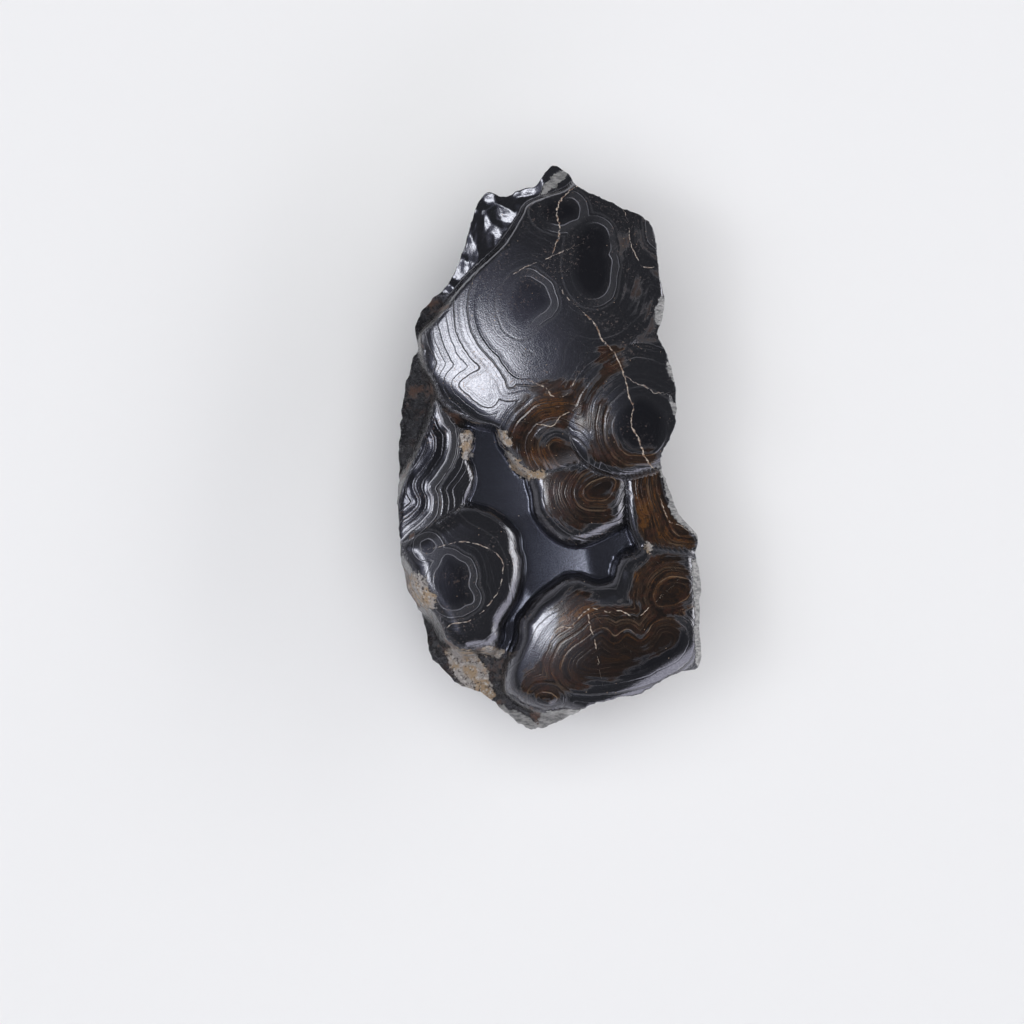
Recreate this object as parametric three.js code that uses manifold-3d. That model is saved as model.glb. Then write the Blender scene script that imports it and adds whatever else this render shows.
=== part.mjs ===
// A hand-sized piece of botryoidal hematite (kidney ore) with a polished face.
// It grew as overlapping rounded domes. The domes were ground and polished on the upper side, which
// left smooth islands that stand proud of a deep, naturally glossy channel. Every other side is broken.
// Millimetres, +Z up. The stone lies on the flat parting face of its back, with the polished face up.
// The origin is at the middle of the stone's footprint, on the surface that it rests on.

import * as THREE from "three";
import { mergeVertices } from "three/addons/utils/BufferGeometryUtils.js";
import Module from "manifold-3d";

// ---------------------------------------------------------------- driving dimensions

const HALF_LENGTH = 47.5; // along Y
const HALF_WIDTH = 25.6; // along X
const SKIN_DETAIL = 20; // subdivisions of each edge of the icosahedron that becomes the skin
const RIM_LATITUDE = -22; // degrees: the skin ball is laid over the top down to here
const WALL_SHARE = 0.75; // part of the ball under that latitude that becomes the wall
const WALL_BULGE = 1.5; // 1 draws the walls straight in to the base, and more makes them swell
const CHANNEL_FILLET = 2; // height over which a dome's wall blends into what lies beside it
const EVENING_REACH = 0.8; // steep walls are evened out over this distance, to suit the skin
const GROUND_TOP = 26.5; // the ground between and around the islands rises no higher than this
const BELOW_BASE = 1; // the skin runs this far under the base before it is trimmed flat

// The broken outline of the whole stone, seen from above, clockwise from the tip.
const STONE_OUTLINE = [
  [0.5, 47.5], [3.2, 46.3], [4.5, 44.2], [10.3, 41.3], [16.8, 38], [17.8, 35.8], [18.5, 28.3],
  [19.3, 25.2], [18.8, 21.2], [18.1, 19], [19.8, 16.2], [20.9, 12], [21.5, 5], [20.8, 2.5],
  [18.8, -1.2], [19, -3.2], [20.5, -7.3], [21.8, -11], [25.1, -14.7], [24.8, -17.8], [25.5, -23],
  [25.2, -29.5], [25.6, -34.7], [24.7, -37.3], [22.5, -37.3], [19.2, -38.8], [15.7, -41],
  [6.8, -43.2], [2.5, -45.8], [-2.8, -47.5], [-6.5, -45.3], [-11.3, -41.3], [-14.5, -40.3],
  [-17.7, -37.8], [-20, -35], [-21.3, -29], [-24.2, -23], [-25.2, -15.3], [-25.6, -8], [-24.8, 8],
  [-23.2, 14.7], [-22.2, 17.2], [-22.7, 20.5], [-20.5, 24.7], [-18.2, 26.7], [-15, 32.2],
  [-13, 38.5], [-11.8, 41.8], [-10, 43.2], [-7.7, 42.5], [-4.3, 43.8], [-2.3, 44.2], [-0.7, 46.3],
];

// The flat parting face that the stone rests on, clockwise. Its corners start the wall's facets.
const BASE_OUTLINE = [
  [1, 39.5], [10.5, 33], [14.5, 17], [17.5, 3], [20.5, -15], [19, -31.5], [8, -38], [-7, -39],
  [-17, -29], [-21, -10], [-19, 9], [-14, 24], [-8.5, 35.5],
];

// Each polished island: its outline, its crest (x, y and height), the radii that its face bends with
// across and along the stone, the width and drop of its rolled rim, and the steepness of its wall.
// A cap is a low dome that rises out of the face: its middle, its half sizes and its rise.
const ISLANDS = [
  {
    name: "plateau",
    outline: [
      [4.5, 44.5], [6.8, 44.6], [13.2, 41.6], [18, 39.2], [19.6, 35.5], [20, 28.8], [19.4, 25.5],
      [18.6, 20.5], [19.5, 18.3], [20.8, 15], [21.4, 11.3], [22.2, 4.7], [21.6, 2], [19.2, -1.3],
      [17.2, -3], [12.7, -4], [6.8, -4.2], [1.8, -4.5], [-1.5, -4.7], [-4, -3.3], [-6.5, -0.7],
      [-8.5, 3.3], [-10.8, 3.5], [-15.2, 5.7], [-17.2, 6.3], [-18.3, 8], [-20.8, 13.3],
      [-21.3, 16.3], [-21.3, 19.2], [-17, 24.2], [-13.8, 28], [-8.2, 33.5], [-3.8, 39.5],
      [-1, 41.7], [2.2, 43],
    ],
    crest: [8, 24, 32.5],
    bend: [62, 150],
    rim: { width: 2.2, drop: 1 },
    wall: 1.7,
    caps: [
      { at: [12.4, 5.2], half: [9.5, 10], rise: 2.4 },
      { at: [-1.5, 0], half: [7.5, 6], rise: 1 },
    ],
  },
  {
    name: "middle dome",
    outline: [
      [-2.4, -3], [-2.5, -7], [-1.3, -10], [0.7, -12.7], [3.5, -14.5], [6.8, -15.3], [9.8, -15],
      [12.5, -13.5], [14.2, -11], [14.8, -8.3], [15.6, -2], [8.5, -1], [1.8, -1],
    ],
    crest: [8, -7, 28.8],
    bend: [30, 30],
    rim: { width: 2.6, drop: 1.4 },
    wall: 1.7,
    caps: [],
  },
  {
    name: "lower dome",
    outline: [
      [14.2, -3.2], [17.2, -1.8], [19.9, -1.2], [20.5, -6.2], [21.5, -9.5], [23.5, -12.7],
      [25.6, -14.5], [25, -18], [25.6, -23], [25.6, -28.5], [26.4, -33.7], [26, -38.4],
      [22.8, -39], [19, -40.7], [15.7, -42.2], [11, -43], [3.5, -44.2], [-0.2, -44.4],
      [-2.3, -44], [-5.2, -42.8], [-6.8, -41.2], [-7.3, -38.7], [-6.8, -36.2], [-4.7, -32],
      [-4.2, -29], [-2.5, -26.3], [-0.2, -24.2], [2.7, -22.7], [6.2, -22], [8.5, -22],
      [10.3, -21.5], [11.7, -19.7], [13, -18], [13.6, -15.6], [13, -13.2], [13.4, -10.7],
      [14, -7.8],
    ],
    crest: [14, -26, 28.6],
    bend: [60, 70],
    rim: { width: 4, drop: 2 },
    wall: 1.7,
    caps: [{ at: [9, -32.5], half: [19, 13], rise: 3.4 }],
  },
  {
    name: "left wing and dome",
    outline: [
      [-17.5, 6.2], [-16.2, 4.8], [-15, 3], [-14.5, 0.5], [-13.8, -1.7], [-13, -3.7], [-12.7, -6],
      [-14.2, -9], [-12, -9.8], [-9.3, -11.3], [-7, -13.7], [-5.5, -16.3], [-4.7, -19.5],
      [-4.7, -22.8], [-5.3, -25.8], [-8, -31.3], [-9.5, -33.3], [-11.2, -34], [-12.5, -32.8],
      [-14.5, -33.7], [-16.5, -32.5], [-19.7, -28.2], [-22.3, -23.7], [-22.7, -20.7],
      [-24.7, -14.5], [-25.2, -11.2], [-24.7, -7.8], [-23, -1.2], [-21.5, 4.7], [-20.2, 9.3],
      [-19.2, 9.3],
    ],
    crest: [-11, -12, 27.6],
    bend: [30, 120],
    rim: { width: 1.6, drop: 1.1 },
    wall: 1.7,
    caps: [{ at: [-13.5, -21], half: [9.5, 11], rise: 1.8 }],
  },
];

// The ground around the islands, as shallow hollows: where each is deepest, the height there and the
// radius it curves with. The lowest of them is the surface.
const HOLLOWS = [
  // channel floor, and where it runs out at the lower left
  { at: [2, -16], floor: 23.6, radius: 150 },
  { at: [-8.5, -40], floor: 20.5, radius: 26 },
  // shelf beside the upper left edge, and the tip
  { at: [-9, 38.5], floor: 24.3, radius: 9 },
  { at: [-2.5, 42.8], floor: 25.6, radius: 8 },
  { at: [-12, 33.5], floor: 24, radius: 8 },
  { at: [-15.5, 28], floor: 23.5, radius: 7 },
  { at: [1.5, 46], floor: 26.8, radius: 10 },
  // left flank
  { at: [-21, 23], floor: 21.5, radius: 8 },
  { at: [-23.5, 14], floor: 20, radius: 10 },
  { at: [-24.5, 4], floor: 18.5, radius: 12 },
  { at: [-26.5, -8], floor: 18, radius: 14 },
  // crusted lower left corner
  { at: [-23, -28], floor: 15.5, radius: 12 },
  { at: [-15.5, -37.5], floor: 18.3, radius: 11 },
  { at: [-10.5, -42], floor: 17.8, radius: 9 },
  // lower end and right flank
  { at: [-3, -47], floor: 19.5, radius: 9 },
  { at: [6, -47], floor: 19.5, radius: 10 },
  { at: [27.5, -15], floor: 21.5, radius: 10 },
  { at: [23, 19], floor: 23, radius: 9 },
];

// Fracture planes that take the underside back to the base: a point on each, and its outward normal.
const BREAKS = [
  { through: [23, -24, 12], outward: [0.9, -0.18, -0.4] },
  { through: [19, 10, 15], outward: [0.88, 0.12, -0.3] },
  { through: [13, 36, 13], outward: [0.62, 0.66, -0.42] },
  { through: [-5, 41, 10], outward: [-0.3, 0.82, -0.5] },
  { through: [-17.5, 25, 9], outward: [-0.84, 0.3, -0.45] },
  { through: [-23, -6, 6], outward: [-0.76, -0.06, -0.65] },
  { through: [-18.5, -32, 8], outward: [-0.66, -0.6, -0.45] },
  { through: [2, -42.5, 8], outward: [0.1, -0.84, -0.54] },
  { through: [19.5, -36, 13], outward: [0.55, -0.74, -0.38] },
];

// ---------------------------------------------------------------- outlines and heights

// A closed outline as line segments, its corners softened by a centripetal curve.
function segmentsOf(points) {
  const curve = new THREE.CatmullRomCurve3(
    points.map(([x, y]) => new THREE.Vector3(x, y, 0)),
    true,
    "centripetal",
  );
  const walk = curve.getPoints(points.length * 4);
  return walk.slice(1).map((end, i) => [walk[i].x, walk[i].y, end.x, end.y]);
}

// Distance from (x, y) to an outline, positive inside it.
function insideBy(segments, x, y) {
  let nearest = Infinity;
  let inside = false;
  for (const [ax, ay, bx, by] of segments) {
    const ex = bx - ax;
    const ey = by - ay;
    const px = x - ax;
    const py = y - ay;
    const along = THREE.MathUtils.clamp((px * ex + py * ey) / (ex * ex + ey * ey || 1), 0, 1);
    nearest = Math.min(nearest, (px - ex * along) ** 2 + (py - ey * along) ** 2);
    if (ay > y !== by > y && px < (ex * py) / ey) inside = !inside;
  }
  return (inside ? 1 : -1) * Math.sqrt(nearest);
}

// How far out a ray from the middle through (x, y) leaves an outline, as a multiple of (x, y).
function exitAlong(segments, x, y) {
  let exit = 0;
  for (const [ax, ay, bx, by] of segments) {
    const ex = bx - ax;
    const ey = by - ay;
    const turn = x * ey - y * ex;
    const along = (ax * y - ay * x) / turn;
    if (along >= 0 && along <= 1) exit = Math.max(exit, (ax * ey - ay * ex) / turn);
  }
  return exit;
}

// How far an island has dropped at a distance inside its outline: the rolled rim, then the wall.
function rimDrop({ rim, wall }, inside) {
  if (inside <= 0) return rim.drop - inside * wall;
  const across = Math.max(1 - inside / rim.width, 0);
  return rim.drop * across ** 2.2;
}

function capRise({ at, half, rise }, x, y) {
  const across = ((x - at[0]) / half[0]) ** 2 + ((y - at[1]) / half[1]) ** 2;
  return across < 1 ? rise * (1 - across) ** 1.5 : 0;
}

function islandHeight(island, x, y) {
  const [crestX, crestY, crest] = island.crest;
  const [bendX, bendY] = island.bend;
  const face = crest - (x - crestX) ** 2 / (2 * bendX) - (y - crestY) ** 2 / (2 * bendY);
  const caps = island.caps.reduce((sum, cap) => sum + capRise(cap, x, y), 0);
  return face + caps - rimDrop(island, insideBy(island.segments, x, y));
}

function groundHeight(x, y) {
  return HOLLOWS.reduce(
    (lowest, { at, floor, radius }) =>
      Math.min(lowest, floor + ((x - at[0]) ** 2 + (y - at[1]) ** 2) / (2 * radius)),
    GROUND_TOP,
  );
}

// The larger of two heights, with a fillet where they cross.
function filletMax(a, b, radius) {
  const overlap = Math.max(radius - Math.abs(a - b), 0) / radius;
  return Math.max(a, b) + (overlap ** 2 * radius) / 4;
}

function sharpHeight(x, y) {
  return ISLANDS.reduce(
    (height, island) => filletMax(height, islandHeight(island, x, y), CHANNEL_FILLET),
    groundHeight(x, y),
  );
}

function topHeight(x, y) {
  const around = [0, 1, 2, 3, 4, 5].map((sixth) => {
    const angle = (sixth * Math.PI) / 3;
    return sharpHeight(x + EVENING_REACH * Math.cos(angle), y + EVENING_REACH * Math.sin(angle));
  });
  return around.reduce((sum, height) => sum + height, sharpHeight(x, y)) / (around.length + 1);
}

// ---------------------------------------------------------------- the solid

for (const island of ISLANDS) island.segments = segmentsOf(island.outline);
const stoneSegments = segmentsOf(STONE_OUTLINE);
const baseSegments = BASE_OUTLINE.map((corner, i) => [
  ...corner,
  ...BASE_OUTLINE[(i + 1) % BASE_OUTLINE.length],
]);
const rimCosine = Math.sin(THREE.MathUtils.degToRad(RIM_LATITUDE));

// Lays a point of the unit ball on the stone: its upper part covers the top face evenly, the band
// under that becomes the wall, and the rest closes the base.
function layOnStone({ x, y, z }) {
  const across = Math.hypot(x, y) || 1;
  const ellipseX = (HALF_WIDTH * x) / across;
  const ellipseY = (HALF_LENGTH * y) / across;
  const exit = exitAlong(stoneSegments, ellipseX, ellipseY);
  if (z >= rimCosine) {
    const share = exit * Math.sqrt((1 - z) / (1 - rimCosine));
    return [ellipseX * share, ellipseY * share, topHeight(ellipseX * share, ellipseY * share)];
  }
  const belowRim = (rimCosine - z) / (rimCosine + 1);
  const down = Math.min(belowRim / WALL_SHARE, 1);
  const inward = Math.max((belowRim - WALL_SHARE) / (1 - WALL_SHARE), 0);
  const baseExit = exitAlong(baseSegments, ellipseX, ellipseY);
  const share = THREE.MathUtils.lerp(exit, baseExit, down ** WALL_BULGE) * (1 - inward);
  const rimHeight = topHeight(ellipseX * exit, ellipseY * exit);
  return [ellipseX * share, ellipseY * share, THREE.MathUtils.lerp(rimHeight, -BELOW_BASE, down)];
}

function skinGeometry() {
  const ball = new THREE.IcosahedronGeometry(1, SKIN_DETAIL);
  ball.deleteAttribute("normal");
  ball.deleteAttribute("uv");
  const skin = mergeVertices(ball, 1e-5);
  const position = skin.getAttribute("position");
  const point = new THREE.Vector3();
  for (let i = 0; i < position.count; i++) {
    position.setXYZ(i, ...layOnStone(point.fromBufferAttribute(position, i).normalize()));
  }
  return skin;
}

// A block that covers everything on the outward side of a plane.
function blockBeyond({ through, outward }) {
  const size = 200;
  const up = new THREE.Vector3(0, 0, 1);
  const turn = new THREE.Quaternion().setFromUnitVectors(up, new THREE.Vector3(...outward).normalize());
  const block = new THREE.BoxGeometry(size, size, size);
  block.translate(0, 0, size / 2);
  block.applyQuaternion(turn);
  block.translate(...through);
  return block;
}

const wasm = await Module();
wasm.setup();

function solidOf(geometry) {
  const bare = geometry.clone();
  bare.deleteAttribute("normal");
  bare.deleteAttribute("uv");
  const merged = mergeVertices(bare, 1e-4);
  return new wasm.Manifold(
    new wasm.Mesh({
      numProp: 3,
      vertProperties: Float32Array.from(merged.getAttribute("position").array),
      triVerts: Uint32Array.from(merged.index.array),
    }),
  );
}

function geometryOf(solid) {
  const { vertProperties, triVerts } = solid.getMesh();
  const geometry = new THREE.BufferGeometry();
  geometry.setAttribute("position", new THREE.BufferAttribute(vertProperties, 3));
  geometry.setIndex(new THREE.BufferAttribute(triVerts, 1));
  geometry.computeVertexNormals();
  return geometry;
}

function brokenStone() {
  const base = { through: [0, 0, 0], outward: [0, 0, -1] };
  return [...BREAKS, base].reduce(
    (stone, plane) => stone.subtract(solidOf(blockBeyond(plane))),
    solidOf(skinGeometry()),
  );
}

// Puts the origin at the exact middle of the footprint.
function centred(geometry) {
  const footprint = new THREE.Box3().setFromBufferAttribute(geometry.getAttribute("position"));
  const { x, y } = footprint.getCenter(new THREE.Vector3());
  return geometry.translate(-x, -y, 0);
}

const polishedHematite = new THREE.MeshStandardMaterial({
  color: 0x2a292b,
  roughness: 0.22,
  metalness: 0.85,
});

const stone = new THREE.Mesh(centred(geometryOf(brokenStone())), polishedHematite);
stone.name = "hematite_stone";

const specimen = new THREE.Group();
specimen.add(stone);

export default specimen;
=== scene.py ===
"""A polished piece of kidney ore: the fine skin of the stone, its finish, and a plain pale studio.

The stone is one mass of overlapping hematite domes. Its upper side is ground and polished, so each
dome shows its growth layers as rings. Between the domes runs a deep channel with its natural gloss.
Every other side is broken. Lengths are millimetres until the mesh is written, in metres.
"""

import logging
import math
from dataclasses import dataclass, field
from enum import IntEnum

import bmesh
import bpy
import numpy as np
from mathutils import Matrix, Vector


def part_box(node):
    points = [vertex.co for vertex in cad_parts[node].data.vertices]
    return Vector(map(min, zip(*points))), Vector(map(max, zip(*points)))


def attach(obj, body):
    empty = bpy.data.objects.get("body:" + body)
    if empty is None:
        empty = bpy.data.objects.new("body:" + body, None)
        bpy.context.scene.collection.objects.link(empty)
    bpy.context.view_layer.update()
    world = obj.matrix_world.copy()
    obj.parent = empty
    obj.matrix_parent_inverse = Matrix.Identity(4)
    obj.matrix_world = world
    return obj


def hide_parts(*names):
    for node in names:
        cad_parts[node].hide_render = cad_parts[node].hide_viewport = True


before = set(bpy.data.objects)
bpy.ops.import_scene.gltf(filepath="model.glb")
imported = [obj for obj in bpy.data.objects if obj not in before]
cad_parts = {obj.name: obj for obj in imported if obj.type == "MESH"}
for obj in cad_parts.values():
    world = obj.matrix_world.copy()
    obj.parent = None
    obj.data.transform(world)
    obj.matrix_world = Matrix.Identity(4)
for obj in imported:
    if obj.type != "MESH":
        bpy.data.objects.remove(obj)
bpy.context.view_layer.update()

LOG = logging.getLogger("hematite")

NODE = "hematite_stone"
SLOT = "polished_hematite"
METRES = 0.001  # one millimetre
CHUNK = 4096  # points measured against an outline at one time
RING_POINTS = 12  # in an oval
LINE_STEPS = 4  # pieces that each stretch of a softened line is split into

Point = tuple[float, float]
Pair = tuple[float, float]
Triple = tuple[float, float, float]
Places = np.ndarray  # positions, one a row, in plan or in space
Values = np.ndarray  # a number for each of the places


class Dome(IntEnum):
    """The polished domes and facets, in the order in which they are joined."""

    PLATEAU = 0
    RIGHT_DOME = 1
    MIDDLE_DOME = 2
    RIGHT_FACET = 3
    LOWER_DOME = 4
    LEFT_DOME = 5
    LEFT_WING = 6


# ---------------------------------------------------------------- lines drawn over the stone


def smooth_line(points: tuple[Point, ...], closed: bool) -> Places:
    """Softens a line through given points with a centripetal Catmull-Rom curve.

    Args:
        points: the places that the line passes through.
        closed: whether the line returns to its start.

    Returns:
        The points along the softened line, with the first repeated at the end of a closed one.
    """
    at = np.asarray(points, float)
    if closed:
        before, start, end, after = (np.roll(at, shift, axis=0) for shift in (1, 0, -1, -2))
    else:
        start, end = at[:-1], at[1:]
        before = np.vstack([2 * at[0] - at[1], at[:-2]])
        after = np.vstack([at[2:], 2 * at[-1] - at[-2]])
    knots = [
        np.sqrt(np.linalg.norm(b - a, axis=1))[:, None] + 1e-6
        for a, b in ((before, start), (start, end), (end, after))
    ]
    leave = (
        (start - before) / knots[0]
        - (end - before) / (knots[0] + knots[1])
        + (end - start) / knots[1]
    ) * knots[1]
    arrive = (
        (end - start) / knots[1]
        - (after - start) / (knots[1] + knots[2])
        + (after - end) / knots[2]
    ) * knots[1]
    t = np.linspace(0, 1, LINE_STEPS, endpoint=False)[None, :, None]
    start, end, leave, arrive = (part[:, None, :] for part in (start, end, leave, arrive))
    walk = (
        start * (2 * t**3 - 3 * t**2 + 1)
        + leave * (t**3 - 2 * t**2 + t)
        + end * (3 * t**2 - 2 * t**3)
        + arrive * (t**3 - t**2)
    ).reshape(-1, 2)
    return np.vstack([walk, at[:1] if closed else at[-1:]])


@dataclass(frozen=True)
class Line:
    """A line drawn over the stone in plan.

    The sign of a distance tells the side: positive inside a closed line, and positive on the left
    of an open one.
    """

    points: tuple[Point, ...]
    closed: bool = True

    def walk(self) -> Places:
        """Returns the softened line's points."""
        return smooth_line(self.points, self.closed)

    def side(self, at: Places) -> Values:
        """Measures how far places lie from the line.

        Args:
            at: plan positions.

        Returns:
            The signed distance of each.
        """
        walk = self.walk()
        a, e = walk[:-1], walk[1:] - walk[:-1]
        length = np.maximum((e**2).sum(1), 1e-12)
        found = np.empty(len(at))
        for first in range(0, len(at), CHUNK):
            p = at[first : first + CHUNK, None, :] - a[None]
            along = np.clip((p * e[None]).sum(2) / length, 0, 1)
            gap = ((p - along[..., None] * e[None]) ** 2).sum(2)
            nearest = gap.argmin(1)
            rows = np.arange(len(nearest))
            cross = e[None, :, 0] * p[..., 1] - e[None, :, 1] * p[..., 0]
            if self.closed:
                above = p[..., 1] > 0
                ends_above = p[..., 1] - e[None, :, 1] > 0
                up = ~above & ends_above
                down = above & ~ends_above
                winds = (up & (cross < 0)) | (down & (cross > 0))
                sign = np.where(winds.sum(1) % 2 == 1, 1.0, -1.0)
            else:
                sign = np.where(cross[rows, nearest] >= 0, 1.0, -1.0)
            found[first : first + CHUNK] = sign * np.sqrt(gap[rows, nearest])
        return found

    def exit(self, towards: Places) -> Values:
        """Finds where rays from the middle leave a closed line.

        Args:
            towards: a plan vector for each ray.

        Returns:
            The multiple of each vector that reaches the line.
        """
        walk = self.walk()
        a, e = walk[:-1], walk[1:] - walk[:-1]
        found = np.zeros(len(towards))
        for first in range(0, len(towards), CHUNK):
            d = towards[first : first + CHUNK]
            turn = d[:, :1] * e[None, :, 1] - d[:, 1:] * e[None, :, 0]
            turn = np.where(np.abs(turn) < 1e-12, 1e-12, turn)
            along = (a[None, :, 0] * d[:, 1:] - a[None, :, 1] * d[:, :1]) / turn
            reach = (a[:, 0] * e[:, 1] - a[:, 1] * e[:, 0])[None] / turn
            reach = np.where((along >= 0) & (along <= 1), reach, 0)
            found[first : first + CHUNK] = reach.max(1)
        return found


def loop(*points: Point) -> Line:
    """Returns a closed line through the points."""
    return Line(points)


def path(*points: Point) -> Line:
    """Returns an open line through the points."""
    return Line(points, closed=False)


def deepest(lines: tuple[Line, ...], at: Places) -> Values:
    """Returns how far each plan position lies inside the closed line it is deepest in."""
    return np.max([line.side(at) for line in lines], axis=0)


def signed_nearest(lines: tuple[Line, ...], at: Places) -> Values:
    """Measures places against the nearest of several lines.

    Args:
        lines: the lines.
        at: plan positions.

    Returns:
        The signed distance of each place from the line that is nearest to it.
    """
    sides = np.stack([line.side(at) for line in lines])
    return np.take_along_axis(sides, np.abs(sides).argmin(0)[None], 0)[0]


def smoothstep(low: float, high: float, value: Values) -> Values:
    """Eases from 0 at low to 1 at high.

    Args:
        low: the value that gives 0.
        high: the value that gives 1.
        value: the values to ease.

    Returns:
        The eased values.
    """
    t = np.clip((value - low) / (high - low), 0, 1)
    return t * t * (3 - 2 * t)


def ripple(at: Places, size: float, seed: int) -> Values:
    """Gives smooth random waves from -1 to 1.

    Args:
        at: positions.
        size: the waves' length.
        seed: picks the pattern.

    Returns:
        The height of the waves at each position.
    """
    p = at / size + seed * 17.31
    base = np.floor(p).astype(np.int64)
    f = p - base
    f = f * f * f * (f * (f * 6 - 15) + 10)
    total = np.zeros(len(at))
    # large odd numbers and shifted bits scramble each cell's place into a value of its own
    for corner in range(2 ** at.shape[1]):
        pick = np.array([(corner >> axis) & 1 for axis in range(at.shape[1])])
        cell = base + pick
        mixed = cell @ np.array([73856093, 19349663, 83492791])[: at.shape[1]] + seed * 2654435
        mixed = (mixed ^ (mixed >> 13)) * 1274126177 & 0xFFFFFFFF
        value = ((mixed ^ (mixed >> 16)) & 0xFFFF) / 32767.5 - 1
        total += value * np.where(pick, f, 1 - f).prod(1)
    return total


@dataclass(frozen=True)
class Waves:
    """Smooth random waves that roughen a surface."""

    height: float
    size: float
    seed: int
    creased: bool = False  # folded up at mid height, which leaves sharp creases

    def over(self, at: Places) -> Values:
        """Returns the height of the waves at each position."""
        waves = ripple(at, self.size, self.seed)
        return self.height * (np.abs(waves) if self.creased else waves)


def wave_height(waves: tuple[Waves, ...], at: Places) -> Values:
    """Returns the summed height of several sets of waves at each position."""
    return sum(one.over(at) for one in waves)


SHELF_WAVES = (Waves(0.3, 2.8, 8, creased=True), Waves(0.1, 1.1, 9, creased=True))
BREAK_WAVES = (Waves(0.35, 3.1, 5), Waves(0.12, 1.1, 6))
EDGE_CHIPS = (Waves(0.35, 2.4, 41, creased=True), Waves(0.3, 0.9, 42, creased=True))
LAYER_RELIEF = Waves(1, 1.7, 21)
LAYER_WAVER = (Waves(0.22, 3.4, 31), Waves(0.1, 1.3, 32))
BREAK_EDGE = (Waves(0.3, 1.5, 51),)
WALL_CREASES = (
    Waves(1.7, 9, 13, creased=True),
    Waves(0.9, 4.4, 14, creased=True),
    Waves(0.35, 2.1, 15, creased=True),
)


# ---------------------------------------------------------------- the relief of the upper side


@dataclass(frozen=True)
class Shoulder:
    """A line beyond which a polished face bends down, as a cylinder does."""

    through: Point
    towards: Point
    radius: float

    def drop(self, at: Places) -> Values:
        """Returns how far the face has bent down at each plan position."""
        way = np.asarray(self.towards) / np.hypot(*self.towards)
        beyond = np.clip((at - self.through) @ way, 0, None)
        return beyond**2 / (2 * self.radius)


@dataclass(frozen=True)
class Island:
    """A polished dome, or several grown together, that stands proud of the channel."""

    outline: Line
    crest: Triple
    bend: Pair  # the radii of its face, across and along the stone
    rim_width: float  # the face rolls over this far in from the outline
    rim_slope: float  # how steep it is by then
    wall: float = 5.6  # the slope of its sides
    relief: float = 0.35  # how far its growth layers stand out, against the strongest
    quiet: float = 0.85  # how plain it is inside its innermost rings
    ringed: float = 1.0  # how strong its rings are
    stepped: float = 0.8  # how far the layers stand out along its rim
    silver: float = 1.8  # how far in from its rim the rust keeps
    blend: float = 0.35  # the fillet where it meets the islands before it
    shoulders: tuple[Shoulder, ...] = ()

    def height(self, at: Places, inside: Values) -> Values:
        """Works out the island's height.

        Args:
            at: plan positions.
            inside: how far each lies inside the outline.

        Returns:
            The height at each position, which falls steeply outside the outline.
        """
        off = at - self.crest[:2]
        face = self.crest[2] - (off**2 / (2 * np.asarray(self.bend))).sum(1)
        face = face - sum(shoulder.drop(at) for shoulder in self.shoulders)
        across = np.clip(1 - inside / self.rim_width, 0, 1)
        rolled = self.rim_slope * self.rim_width / 2 * across**2
        return face - rolled + np.minimum(inside, 0) * self.wall


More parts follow.
